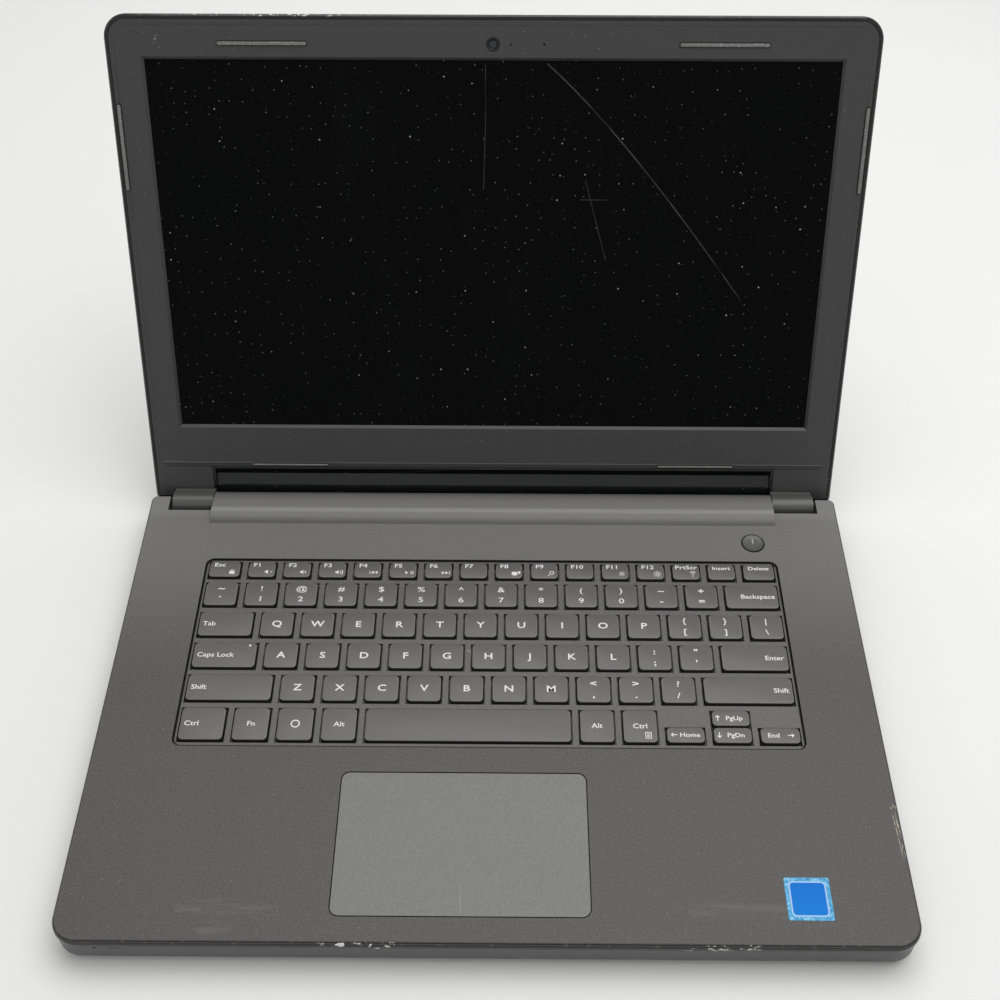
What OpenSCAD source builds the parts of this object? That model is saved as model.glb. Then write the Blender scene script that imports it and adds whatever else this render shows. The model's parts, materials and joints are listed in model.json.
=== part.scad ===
// Fourteen-inch laptop, open on a desk.
// Millimetres. Origin: middle of the base's footprint, on the desk. +X to the right, +Y to the back, +Z up.

/* [Base] */
// Width of the base
base_w = 345; // [330:1:420]
// Depth of the base, front edge to rear edge
base_d = 235.5; // [232:0.5:290]
// Height of the palm rest's surface above the desk
deck_h = 18; // [17:0.5:24]
// Height of the rubber feet
foot_h = 1.6; // [1.2:0.1:2.4]
// Wall of the two base mouldings
wall = 1.8; // [1.5:0.1:2.4]
// Height of the palm rest's rim
rim_h = 4; // [3.6:0.1:5]
// Radius of the front corners
front_r = 11; // [6:0.5:16]
// Radius of the rear corners
rear_r = 3.2; // [3.1:0.1:6]

/* [Lid] */
// How far the lid is open
lid_angle = 112.8; // [60:0.1:135]
// How much narrower the lid is than the base
lid_step = 1; // [0:0.5:3]
// Thickness of the lid
lid_t = 6.6; // [6.4:0.1:9]
// Gap between the palm rest and the closed lid's face
lid_gap = 0.9; // [0.8:0.1:1.6]
// Radius of the lid's top corners
lid_r = 10.5; // [6:0.5:16]
// Width of the lid cover's edge
cover_edge = 1.9; // [1.6:0.1:3]
// Wall of the lid cover's back
cover_t = 1.6; // [1.2:0.1:2.4]
// Thickness of the bezel
bezel_t = 1.5; // [1.2:0.1:2]
// Width of the bezel's low outer border
bezel_border = 2.4; // [1.5:0.1:4]
// How far the bezel's middle stands above its border
bezel_lip = 0.4; // [0.2:0.1:0.8]

/* [Screen] */
// Width of the picture
picture_w = 309.4; // [290:0.1:315]
// Height of the picture
picture_h = 174; // [150:0.1:178]
// From the hinge axis to the lower edge of the screen's opening
screen_rise = 40; // [34:0.5:46]
// Thickness of the panel
panel_t = 3; // [2.4:0.1:3.4]
// Radius of the camera's window
camera_r = 2.9; // [1.5:0.1:3.5]

/* [Hinge] */
// Depth of the hinge axis below the palm rest's surface
hinge_drop = 4.2; // [4:0.1:5]
// From the base's rear edge forward to the hinge axis
hinge_in = 1; // [0.5:0.1:2]
// Radius of the hinge shaft
shaft_r = 2; // [1.5:0.1:2.4]
// Radius of the round spine at the back of the base
spine_r = 5.1; // [5:0.1:5.6]
// From each side of the base to the end of the spine
spine_inset = 32; // [28:0.5:40]
// Length of each hinge cap
cap_len = 20.5; // [18:0.5:24]
// Radius of each hinge cap
cap_r = 6.2; // [6:0.1:6.4]
// Depth of the notch that each hinge cap turns in
notch_d = 10.2; // [9.5:0.1:14]

/* [Ridge] */
// From the rear edge to the foot of the ridge
ridge_foot = 19; // [17:0.5:24]
// From the rear edge to the crest of the ridge
ridge_crest = 12.7; // [10:0.5:15]
// Height of the ridge's crest
ridge_h = 2.5; // [1.5:0.1:2.8]

/* [Keyboard] */
// Width of the field of keys
field_w = 272.5; // [265:0.5:290]
// From the rear edge to the first row of keys
keys_back = 43.5; // [41:0.5:60]
// Pitch of the letter keys
pitch_x = 19; // [18.5:0.05:19.5]
// Pitch of the rows
pitch_y = 17.65; // [17:0.05:19]
// Gap between two keys of a row
key_gap = 3.5; // [2.5:0.1:4.5]
// Front-to-back size of a letter key
key_d = 14.2; // [13:0.1:15]
// Front-to-back size of a function key
fkey_d = 9.7; // [8:0.1:11]
// Front-to-back size of a bottom-row key
bkey_d = 17; // [15:0.1:18]
// Height of a key cap
key_h = 2.4; // [2:0.1:3]
// Height of the key tops above the palm rest's surface
key_rise = 0.5; // [0.2:0.1:0.6]
// How far a key goes down
key_travel = 1.4; // [1:0.1:1.6]
// Depth of the keyboard's frame below the palm rest's surface
bay_sink = 0.9; // [0.5:0.1:1.5]
// Margin of the keyboard's frame round the keys
bay_margin = 1.7; // [1.5:0.1:4]

/* [Touchpad] */
// Width of the touchpad
pad_w = 104; // [90:1:120]
// Front-to-back size of the touchpad
pad_d = 64.4; // [50:0.1:70]
// From the middle of the base to the middle of the touchpad
pad_x = -10.4; // [-30:0.1:10]
// From the keyboard's bay to the touchpad
pad_step = 12.6; // [8:0.1:20]
// Radius of the touchpad's corners
pad_r = 3.5; // [1:0.1:6]
// How far the touchpad's front edge goes down
pad_click = 0.4; // [0.3:0.05:0.5]

/* [Small parts] */
// Radius of the power button
power_r = 5.4; // [4:0.1:7]
// Side of the square label
label_w = 18.2; // [10:0.1:25]
// Radius of the power socket's hole
power_jack_r = 2.75; // [2:0.05:3]
// Radius of the headset socket's hole
audio_jack_r = 1.8; // [1.7:0.05:2]
// Clearance round what sits in an opening
fit_gap = 0.5; // [0.4:0.05:0.8]
// Radius of the screws
screw_r = 1.2; // [1:0.05:1.4]

/* [Hidden] */
$fn = 48;

// Base: levels above the desk and places across and along it
half_w = base_w / 2;
rear_y = base_d / 2;
seam_z = deck_h - rim_h;
floor_z = foot_h + wall;
roof_z = deck_h - wall;
case_step = 0.4;
inner_w = half_w - wall - case_step;

// Hinge: the axis, and the x of the spine's ends, the caps and their notches
axis_y = rear_y - hinge_in;
axis_z = deck_h - hinge_drop;
spine_x = half_w - spine_inset;
side_gap = 0.6;
cap_x = spine_x + side_gap;
cap_clear = 1.1;
notch_x = cap_x + cap_len + cap_clear;
eye_r = shaft_r + 1.3;
running_gap = 0.05;
eye_room = eye_r + 0.3;
spine_wall = 1.4;
cap_wall = 1.2;

// Lid, drawn closed with the hinge axis as its origin: its face looks down, and y runs back
lid_hw = (base_w - lid_step) / 2;
lid_len = base_d - hinge_in - 0.2;
face_z = hinge_drop + lid_gap;
back_z = face_z + lid_t;
border_z = face_z + bezel_lip;
panel_z = face_z + bezel_t;
cover_in_z = back_z - cover_t;
open_w = picture_w + 1.2;
open_h = picture_h + 1.2;
lip_end = 16.3;
leg_end = 1;
cover_end = 1.5;
leg_x = spine_x + 1.4;
cap_mid = [1.38, 0.93];

// Keyboard: the bay, the rows and the widths of their keys
bay_hw = field_w / 2 + bay_margin + fit_gap;
bay_back = keys_back - bay_margin - fit_gap;
row_back = keys_back + fkey_d + 2.9;
bottom_back = row_back + 4 * pitch_y;
keys_front = bottom_back + bkey_d;
bay_front = keys_front + bay_margin + fit_gap + 0.6;
key_top = deck_h + key_rise;
key_base = key_top - key_h;
web_top = deck_h - bay_sink;
web_t = 1.4;
plate_t = 0.8;
plate_z = floor_z + 8.4;
corner_key_w = 15.25;
fkey_gap = 3.6;
fkey_w = (field_w - 2 * corner_key_w - 15 * fkey_gap) / 14;
letter_w = pitch_x - key_gap;
number_in = 19.25;
upper_in = 28.85;
home_in = 32.75;
lower_in = 42.15;
bottom_w = [20, 16, 16, 15.6, 90.9, 15.4, 15.4, 17, 17];
half_key_d = (bkey_d - 0.4) / 2;
key_clear = 0.5;

// Touchpad and what lies beside it
pad_back = bay_front + pad_step;
pad_t = 1.6;
pad_top = deck_h - 0.1;
label_x = half_w - 43.5;
label_y = rear_y - pad_back - pad_d + label_w / 2 - 0.8;
power_pos = [half_w - 44.4, rear_y - 29.8];

// Inside the base
board_z = floor_z + 5.4;
board_t = 1.2;
fan_mid = [-half_w + 37, rear_y - 46];
light_x = 26.5 - half_w;
light_z = seam_z - 1.6;
light_w = 4;
fan_half = 28;
fan_bore = 26;
drive_size = [100, 69.9, 7];
battery_size = [180, 66, 7.2];
port_z = floor_z;

// A box between two corners
module box_from(low, high) {
    translate(low) cube(high - low);
}

module both_sides() {
    children();
    mirror([1, 0, 0]) children();
}

// Whatever is drawn for the right side, on the side that is asked for
module on_side(s) {
    mirror([s < 0 ? 1 : 0, 0, 0]) children();
}

// A rectangle with round corners, its middle at the origin
module round_rect(w, d, r) {
    square([w - 2 * r, d], center = true);
    square([w, d - 2 * r], center = true);
    for (sx = [-1, 1], sy = [-1, 1])
        translate([sx * (w / 2 - r), sy * (d / 2 - r)]) circle(r);
}

// A slab whose edge follows a profile: each step is [height, inset from the outline]
module edged_slab(hw, y_low, y_high, r_low, r_high, steps) {
    last = len(steps) - 1;
    // Across the whole width, between the corners' centres
    translate([0, y_high - r_high, 0]) rotate([90, 0, 0])
        linear_extrude(y_high - r_high - y_low - r_low)
            polygon(concat([for (s = steps) [hw - s[1], s[0]]],
                [for (i = [last:-1:0]) [steps[i][1] - hw, steps[i][0]]]));
    edge_strip(hw, y_low, r_low, 1, steps);
    edge_strip(hw, y_high, r_high, -1, steps);
}

// The strip along one end of a slab, with its two round corners
module edge_strip(hw, y, r, inward, steps) {
    last = len(steps) - 1;
    translate([r - hw, y, 0]) rotate([90, 0, 90]) linear_extrude(2 * (hw - r))
        polygon(concat([[inward * r, steps[0][0]]], [for (s = steps) [inward * s[1], s[0]]],
            [[inward * r, steps[last][0]]]));
    both_sides() translate([hw - r, y + inward * r, 0])
        rotate(inward > 0 ? -90 : 0) rotate_extrude(angle = 90)
            polygon(concat([[0, steps[0][0]]], [for (s = steps) [r - s[1], s[0]]], [[0, steps[last][0]]]));
}

// An outline with one radius at its front corners and another at its rear ones
module outline(hw, y_low, y_high, r_low, r_high) {
    translate([-hw, y_low + r_low]) square([2 * hw, y_high - r_high - y_low - r_low]);
    translate([r_low - hw, y_low]) square([2 * (hw - r_low), r_low + 0.1]);
    translate([r_high - hw, y_high - r_high - 0.1]) square([2 * (hw - r_high), r_high + 0.1]);
    both_sides() {
        translate([hw - r_low, y_low + r_low]) circle(r_low);
        translate([hw - r_high, y_high - r_high]) circle(r_high);
    }
}

// The hollow of the base's two halves
module inner_outline() {
    inset = wall + case_step;
    outline(inner_w, inset - rear_y, rear_y - inset, front_r - inset, rear_r - wall);
}

// Carries the lid's pieces from closed, with the hinge axis as origin, to where the lid stands
module lid_pose() {
    translate([0, axis_y, axis_z]) rotate([-lid_angle, 0, 0]) children();
}

// A profile drawn back from the base's rear edge and up from the palm rest, swept across the base
module rear_profile(x_low, x_high) {
    translate([x_low, rear_y, deck_h]) rotate([90, 0, 90]) linear_extrude(x_high - x_low) children();
}

// A profile drawn from the hinge axis, swept across the lid
module lid_profile(x_low, x_high) {
    translate([x_low, 0, 0]) rotate([90, 0, 90]) linear_extrude(x_high - x_low) children();
}

// ---- Base mouldings ----

rim_steps = [[seam_z, 0.15], [deck_h - 2.4, 0], [deck_h - 1.2, 0.2], [deck_h - 0.5, 0.6], [deck_h, 1.35]];
case_steps = [[foot_h, 3], [foot_h + 0.6, 1.6], [foot_h + 1.6, 0.6], [foot_h + 3.4, 0], [seam_z, 0]];
side_screw_x = half_w - 8;
screw_places = [for (x = [-side_screw_x, -80, 80, side_screw_x]) [x, 8 - rear_y],
    for (x = [-60, 60]) [x, rear_y - 26]];
screw_sink = 0.9;
screw_head_t = 0.8;
boss_r = 3;
bracket_t = 1.2;
bracket_top = axis_z - eye_r + bracket_t;
bracket_post = [spine_x - 6.5, rear_y - 21.6];

// Where a hinge cap turns: open at the top, the back and inboard to the spine
module notch(z_low, grow) {
    both_sides() box_from([spine_x - grow, rear_y - notch_d - grow, z_low],
        [notch_x + grow, rear_y + 20, deck_h + 10]);
}

// The ridge's outline: its foot, its crest and the top of the tube behind it
ridge_low = [-ridge_foot, 0];
ridge_top = [-ridge_crest, ridge_h];
ridge_end = [-hinge_in, spine_r - hinge_drop];

// The crest is rounded from halfway up the slope to a third of the way back
function ridge_bend(steps) = let (from = (ridge_low + ridge_top) / 2, to = (2 * ridge_top + ridge_end) / 3)
    [for (i = [0 : steps]) let (t = i / steps)
        from * pow(1 - t, 2) + ridge_top * 2 * t * (1 - t) + to * pow(t, 2)];

module spine_outer() {
    polygon(concat([[-ridge_foot, -wall], ridge_low], ridge_bend(8),
        [ridge_end, [-hinge_in, -hinge_drop], [-ridge_crest, -wall]]));
    translate([-hinge_in, -hinge_drop]) circle(spine_r);
}

module spine_inner() {
    polygon([[spine_wall - ridge_foot, -hinge_drop - eye_room], [spine_wall - ridge_foot, -0.9],
        [-ridge_crest, ridge_h - spine_wall - 0.2], [-hinge_in, spine_r - hinge_drop - spine_wall],
        [-hinge_in, -hinge_drop - eye_room]]);
    translate([-hinge_in, -hinge_drop]) circle(max(spine_r - spine_wall, eye_room));
}

module palm_rest() {
    color([0.30, 0.30, 0.29]) difference() {
        union() {
            difference() {
                edged_slab(half_w, -rear_y, rear_y, front_r, rear_r, rim_steps);
                translate([0, 0, seam_z - 1]) linear_extrude(roof_z - seam_z + 1) inner_outline();
                // The spine takes the place of the rear skirt between the notches
                box_from([-spine_x, rear_y - ridge_foot + spine_wall, seam_z - 1],
                    [spine_x, rear_y + 1, deck_h + 1]);
            }
            difference() {
                rear_profile(-spine_x, spine_x) spine_outer();
                rear_profile(spine_wall - spine_x, spine_x - spine_wall) spine_inner();
            }
            notch_skirt();
            keyboard_rib();
            for (p = screw_places) translate([p[0], p[1], floor_z]) cylinder(r = boss_r, h = roof_z - floor_z);
            both_sides() translate([bracket_post[0], bracket_post[1], bracket_top])
                cylinder(r = 2, h = roof_z - bracket_top);
        }
        difference() {
            notch(0, 0);
            box_from([-spine_x, 0, 0], [spine_x, rear_y + 30, 100]);
        }
        // Bores for the hinge shafts, through the ends of the spine
        both_sides() translate([spine_x - 2 * spine_wall, axis_y, axis_z]) rotate([0, 90, 0])
            cylinder(r = shaft_r + fit_gap, h = 4 * spine_wall);
        translate([0, rear_y - (bay_back + bay_front) / 2, plate_z])
            linear_extrude(20) round_rect(2 * bay_hw, bay_front - bay_back, 4);
        translate([pad_x, rear_y - pad_back - pad_d / 2, roof_z - 1])
            linear_extrude(10) round_rect(pad_w + 2 * fit_gap, pad_d + 2 * fit_gap, pad_r + fit_gap);
        translate([power_pos[0], power_pos[1], roof_z - 1]) cylinder(r = power_r + 0.4, h = 10);
        for (p = screw_places) translate([p[0], p[1], floor_z - 1]) cylinder(r = screw_r, h = 9);
    }
}

// The walls that the palm rest has round each notch
module notch_skirt() {
    difference() {
        intersection() {
            notch(seam_z, wall);
            box_from([-half_w + 1, 0, seam_z], [half_w - 1, rear_y - wall, roof_z + 0.1]);
        }
        box_from([-spine_x, 0, 0], [spine_x, rear_y + 30, 100]);
    }
}

// The rib round the keyboard's bay, down to its plate
module keyboard_rib() {
    translate([0, rear_y - (bay_back + bay_front) / 2, plate_z + plate_t])
        linear_extrude(roof_z - plate_z - plate_t)
            round_rect(2 * bay_hw + 2 * wall, bay_front - bay_back + 2 * wall, 4 + wall);
}

module bottom_case() {
    color([0.20, 0.20, 0.20]) difference() {
        union() {
            difference() {
                edged_slab(half_w - case_step, -rear_y + case_step, rear_y - case_step, front_r - case_step,
                    rear_r, case_steps);
                translate([0, 0, floor_z]) linear_extrude(seam_z) inner_outline();
            }
            intersection() {
                notch(floor_z - 0.1, wall);
                box_from([-half_w + 1, 0, foot_h], [half_w - 1, rear_y - case_step - wall, seam_z]);
            }
            for (p = board_posts) translate([p[0], p[1], foot_h + 0.5])
                cylinder(r = 2.5, h = board_z - foot_h - 0.5);
        }
        difference() {
            notch(floor_z, 0);
            box_from([-spine_x, 0, 0], [spine_x, rear_y + 30, 100]);
        }
        // Room for the spine, along the top of the rear wall
        box_from([-spine_x, rear_y - notch_d - wall - 0.1, axis_z - spine_r - 0.4],
            [spine_x, rear_y + 5, seam_z + 1]);
        port_cuts();
        for (p = screw_places) translate([p[0], p[1], 0]) {
            cylinder(r = screw_r + 0.1, h = 10);
            cylinder(r = 2 * screw_r + 0.2, h = foot_h + screw_sink);
        }
        translate([door_mid[0], door_mid[1], foot_h - 1]) linear_extrude(2.2)
            round_rect(door_size[0], door_size[1], 3);
        translate([door_mid[0], door_mid[1], foot_h - 1]) linear_extrude(wall + 2)
            round_rect(door_size[0] - 8, door_size[1] - 8, 3);
        // Air slots under the fan and in the side wall beside its fins
        for (i = [-4:4]) translate([fan_mid[0], fan_mid[1] + i * 4.4, foot_h - 1])
            linear_extrude(wall + 2) round_rect(2 * sqrt(21 * 21 - i * i * 19.4), 2, 0.9);
        for (i = [-5:5]) box_from([-half_w - 1, fan_mid[1] + i * 4 - 1, floor_z + 2],
            [-inner_w + 0.1, fan_mid[1] + i * 4 + 1, floor_z + 7.5]);
    }
}

board_posts = [for (x = [-98, 8], y = [35, 116]) [x, rear_y - y]];
door_size = [148, 92];
door_mid = [half_w - 88, rear_y - 84];

module service_door() {
    color([0.19, 0.19, 0.19]) translate([door_mid[0], door_mid[1], foot_h])
        linear_extrude(1.2) round_rect(door_size[0] - 0.6, door_size[1] - 0.6, 2.7);
}

module rubber_feet() {
    color([0.10, 0.10, 0.10]) both_sides() {
        translate([half_w - 45, -rear_y + 16, 0]) linear_extrude(foot_h) round_rect(46, 7, 3.4);
        translate([half_w - 55, rear_y - 17, 0]) linear_extrude(foot_h) round_rect(46, 7, 3.4);
    }
}

module base_screws() {
    color([0.35, 0.35, 0.36]) for (p = screw_places) translate([p[0], p[1], foot_h]) difference() {
        union() {
            translate([0, 0, screw_sink - screw_head_t]) cylinder(r = 2 * screw_r, h = screw_head_t);
            cylinder(r = screw_r - 0.05, h = 8.5);
        }
        translate([0, 0, -1]) cylinder(r = screw_r * 0.6, h = 1.6, $fn = 6);
    }
}

// ---- Ports ----

// Each port: the side it faces, its middle along the base, its width, depth and height, and its mouth
network_at = [-1, rear_y - 114, 16, 17, 9.6];
left_usb_at = [-1, rear_y - 136, 14.6, 15, 6.6];
right_usb_at = [1, rear_y - 143, 14.6, 15, 6.6];
front_usb_at = [1, rear_y - 162, 14.6, 15, 6.6];
video_at = [1, rear_y - 27, 17, 12, 6.6];
card_at = [1, rear_y - 197, 30, 24, 4.4];
usb_mouth = [12.4, 4.6];
network_mouth = [12, 7.2];
video_mouth = [14.2, 4.6];
card_mouth = [25, 2.4];
power_jack_y = rear_y - 94;
audio_jack_y = rear_y - 177;
jack_z = floor_z + 4;

// A port's shell: a box with its mouth cut from the outside
module port_shell(at, mouth, deep) {
    on_side(at[0]) difference() {
        box_from([inner_w - at[3], at[1] - at[2] / 2, port_z], [inner_w, at[1] + at[2] / 2, port_z + at[4]]);
        translate([inner_w - deep, at[1] - mouth[0] / 2, port_z + (at[4] - mouth[1]) / 2])
            cube([deep + 1, mouth[0], mouth[1]]);
    }
}

module port_mouth(at, mouth) {
    on_side(at[0]) translate([inner_w - 1, at[1] - mouth[0] / 2, port_z + (at[4] - mouth[1]) / 2])
        cube([20, mouth[0], mouth[1]]);
}

module port_cuts() {
    port_mouth(network_at, network_mouth);
    for (at = [left_usb_at, right_usb_at, front_usb_at]) port_mouth(at, usb_mouth);
    port_mouth(video_at, video_mouth);
    port_mouth(card_at, card_mouth);
    translate([-half_w - 1, power_jack_y, jack_z]) rotate([0, 90, 0]) cylinder(r = power_jack_r + 1, h = 5);
    translate([half_w - 5, audio_jack_y, jack_z]) rotate([0, 90, 0]) cylinder(r = audio_jack_r + 0.7, h = 10);
    // Lock slot at the left, status light and microphone at the front
    box_from([-half_w - 1, rear_y - 156, floor_z + 3], [-inner_w + 1, rear_y - 149, floor_z + 6]);
    translate([light_x, -rear_y, light_z]) cube([light_w + 0.1, 6, 1.3], center = true);
    translate([light_x - 8.5, -rear_y - 1, light_z]) rotate([-90, 0, 0]) cylinder(r = 0.6, h = 6);
}

module network_port() {
    color([0.16, 0.16, 0.17]) port_shell(network_at, network_mouth, 13);
}

module usb_ports() {
    color([0.62, 0.63, 0.65]) for (at = [left_usb_at, right_usb_at, front_usb_at]) {
        port_shell(at, usb_mouth, 12);
    }
}

module video_port() {
    color([0.60, 0.61, 0.63]) port_shell(video_at, video_mouth, 10);
}

module card_reader() {
    color([0.55, 0.56, 0.58]) port_shell(card_at, card_mouth, 22);
}

module jack_body(s, y, bore, length, size) {
    on_side(s) difference() {
        box_from([inner_w - length, y - size / 2, floor_z], [inner_w, y + size / 2, jack_z + size / 2]);
        translate([inner_w - length + 2, y, jack_z]) rotate([0, 90, 0]) cylinder(r = bore, h = length);
    }
}

module power_jack() {
    color([0.12, 0.12, 0.12]) jack_body(-1, power_jack_y, power_jack_r, 12, 8);
}

module headset_jack() {
    color([0.12, 0.12, 0.12]) jack_body(1, audio_jack_y, audio_jack_r, 14, 6.4);
}

// ---- Keyboard ----

module keyboard_frame() {
    color([0.27, 0.27, 0.27]) difference() {
        translate([0, rear_y - (bay_back + bay_front) / 2, plate_z + plate_t])
            linear_extrude(web_top - plate_z - plate_t)
                round_rect(2 * (bay_hw - fit_gap), bay_front - bay_back - 2 * fit_gap, 3.5);
        translate([0, rear_y - (bay_back + bay_front) / 2, plate_z])
            linear_extrude(web_top - web_t - plate_z)
                round_rect(2 * (bay_hw - fit_gap - 1.2), bay_front - bay_back - 2 * fit_gap - 2.4, 2.3);
        for (k = all_keys()) key_hole(k);
    }
}

module keyboard_plate() {
    color([0.55, 0.56, 0.58]) translate([0, rear_y - (bay_back + bay_front) / 2, plate_z])
        linear_extrude(plate_t) round_rect(2 * bay_hw + 2 * wall, bay_front - bay_back + 2 * wall, 4 + wall);
}

// The rubber sheet under the keys, with one low dome for each
module dome_sheet() {
    color([0.75, 0.76, 0.74]) {
        translate([0, rear_y - (bay_back + bay_front) / 2, plate_z + plate_t]) linear_extrude(0.4)
            round_rect(2 * (bay_hw - fit_gap - 1.6), bay_front - bay_back - 2 * fit_gap - 3.2, 2);
        for (k = all_keys()) translate([k[0] + k[1] / 2, rear_y - k[2] - k[3] / 2, plate_z + plate_t + 0.2])
            cylinder(r1 = 2.6, r2 = 1.6, h = key_base - key_travel - 0.3 - plate_z - plate_t - 0.2, $fn = 24);
    }
}

// A key is [left edge, width, distance of its back edge from the base's rear edge, front-to-back size]
function run(x, count, w, gap, back, d) = [for (i = [0:count - 1]) [x + i * (w + gap), w, back, d]];
function row_at(n) = row_back + n * pitch_y;
function field_left() = -field_w / 2;
function letters(n, indent, count) =
    run(field_left() + indent, count, letter_w, key_gap, row_at(n), key_d);
function left_key(n, indent) = [field_left(), indent - key_gap, row_at(n), key_d];
function right_key(n, indent, count) = [field_left() + indent + count * pitch_x,
    field_w - indent - count * pitch_x, row_at(n), key_d];
function sum_to(v, n) = n < 1 ? 0 : v[n - 1] + sum_to(v, n - 1);
function bottom_x(n) = field_left() + sum_to(bottom_w, n) + n * key_gap;
function bottom_key(n) = [bottom_x(n), bottom_w[n], bottom_back, bkey_d];

function function_row() = concat([[field_left(), corner_key_w, keys_back, fkey_d]],
    run(field_left() + corner_key_w + fkey_gap, 14, fkey_w, fkey_gap, keys_back, fkey_d),
    [[-field_left() - corner_key_w, corner_key_w, keys_back, fkey_d]]);
function number_row() = concat([left_key(0, number_in)], letters(0, number_in, 12));
function upper_row() = concat(letters(1, upper_in, 12), [right_key(1, upper_in, 12)]);
function home_row() = letters(2, home_in, 11);
function lower_row() = letters(3, lower_in, 10);
function modifier_row() = [for (n = [0, 1, 2, 3, 5, 6]) bottom_key(n)];
low_back = bottom_back + bkey_d - half_key_d;
left_arrow = [bottom_x(7), bottom_w[7], low_back, half_key_d];
up_arrow = [bottom_x(8), bottom_w[8], bottom_back, half_key_d];
down_arrow = [bottom_x(8), bottom_w[8], low_back, half_key_d];
right_arrow = [bottom_x(9), -field_left() - bottom_x(9), low_back, half_key_d];
backspace = right_key(0, number_in, 12);
tab = left_key(1, upper_in);
caps_lock = left_key(2, home_in);
enter = right_key(2, home_in, 11);
left_shift = left_key(3, lower_in);
right_shift = right_key(3, lower_in, 10);

function all_keys() = concat(function_row(), number_row(), upper_row(), home_row(), lower_row(), modifier_row(),
    [backspace, tab, caps_lock, enter, left_shift, right_shift, bottom_key(4), left_arrow, up_arrow, down_arrow,
    right_arrow]);

// A hollow cap with a low bevel round its top
module key_cap(k) {
    bevel = 0.25;
    translate([k[0] + k[1] / 2, rear_y - k[2] - k[3] / 2, 0]) difference() {
        union() {
            translate([0, 0, key_base]) linear_extrude(key_h - bevel) round_rect(k[1], k[3], 1.2);
            translate([0, 0, key_top - bevel]) linear_extrude(bevel)
                round_rect(k[1] - 2 * bevel, k[3] - 2 * bevel, 1);
        }
        translate([1.2 - k[1] / 2, 1.2 - k[3] / 2, key_base - 1]) cube([k[1] - 2.4, k[3] - 2.4, key_h]);
    }
}

// The hole in the keyboard's frame that a key goes down through
module key_hole(k) {
    translate([k[0] - key_clear, rear_y - k[2] - k[3] - key_clear, plate_z])
        cube([k[1] + 2 * key_clear, k[3] + 2 * key_clear, 20]);
}

module keys(list) {
    color([0.29, 0.29, 0.28]) for (k = list) key_cap(k);
}

module function_keys() { keys(function_row()); }
module number_keys() { keys(number_row()); }
module upper_letter_keys() { keys(upper_row()); }
module home_letter_keys() { keys(home_row()); }
module lower_letter_keys() { keys(lower_row()); }
module modifier_keys() { keys(modifier_row()); }
module tab_key() { keys([tab]); }
module caps_lock_key() { keys([caps_lock]); }
module left_shift_key() { keys([left_shift]); }
module right_shift_key() { keys([right_shift]); }
module enter_key() { keys([enter]); }
module backspace_key() { keys([backspace]); }
module space_bar() { keys([bottom_key(4)]); }
module left_arrow_key() { keys([left_arrow]); }
module up_arrow_key() { keys([up_arrow]); }
module down_arrow_key() { keys([down_arrow]); }
module right_arrow_key() { keys([right_arrow]); }

// ---- Touchpad, power button, label and light ----

module touchpad() {
    color([0.45, 0.45, 0.44]) translate([pad_x, rear_y - pad_back - pad_d / 2, pad_top - pad_t])
        linear_extrude(pad_t) round_rect(pad_w, pad_d, pad_r);
}

// Holds the touchpad by a bar along its rear edge, and has the switch under its front edge
module touchpad_bracket() {
    side = pad_w / 2 + fit_gap;
    color([0.60, 0.61, 0.63]) translate([pad_x, rear_y - pad_back, 0]) {
        box_from([-side - 4, -pad_d - 3.5, pad_top - pad_t - 2.1], [side + 4, 3.5, pad_top - pad_t - 0.5]);
        box_from([-pad_w / 2 + 6, -pad_bar, pad_top - pad_t - 0.6], [pad_w / 2 - 6, 0, pad_top - pad_t]);
        for (s = [-1, 1]) translate([s * (side + 2.5) - 1.5, -pad_d - 3.5, pad_top - pad_t - 0.6])
            cube([3, pad_d + 7, roof_z - pad_top + pad_t + 0.6]);
        translate([0, 5 - pad_d, pad_top - pad_t - 0.6]) cylinder(r = 3.5, h = 0.55 - pad_click);
    }
}
pad_bar = 1.5;

module power_button() {
    color([0.25, 0.25, 0.25]) translate([power_pos[0], power_pos[1], roof_z - 0.8]) {
        cylinder(r = power_r + 1.2, h = 0.75);
        cylinder(r = power_r, h = deck_h + 0.2 - roof_z + 0.8);
    }
}

module processor_label() {
    color([0.12, 0.42, 0.72]) translate([label_x, label_y, deck_h])
        linear_extrude(0.15) round_rect(label_w, label_w, 0.8);
}

module status_light() {
    color([0.70, 0.72, 0.70]) translate([light_x, -rear_y + 1.6, light_z])
        cube([light_w, 2.2, 1.2], center = true);
}

// ---- Inside the base ----

board_low = [-105, rear_y - 120];
board_high = [56, rear_y - 30];

module motherboard() {
    color([0.10, 0.30, 0.18]) difference() {
        box_from([board_low[0], board_low[1], board_z], [board_high[0], board_high[1], board_z + board_t]);
        for (p = board_posts) translate([p[0], p[1], board_z - 1]) cylinder(r = 1, h = 4);
    }
    // Processor, memory socket, a connector row and a few chips
    color([0.15, 0.15, 0.16]) {
        box_from([-48, rear_y - 68, board_z - 0.8], [-34, rear_y - 54, board_z]);
        box_from([17, rear_y - 114, board_z - 3.4], [memory_at[0], rear_y - 44, board_z]);
        box_from([-20, rear_y - 96, board_z - 1.2], [-6, rear_y - 82, board_z]);
        box_from([48, rear_y - 90, board_z - 4], [drive_at[0], rear_y - 80, board_z]);
        for (i = [0:4]) box_from([-90 + i * 22, rear_y - 112, board_z + board_t],
            [-78 + i * 22, rear_y - 102, board_z + board_t + 1]);
    }
}
memory_at = [21.8, rear_y - 113];
drive_at = [60, rear_y - 120];

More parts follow.
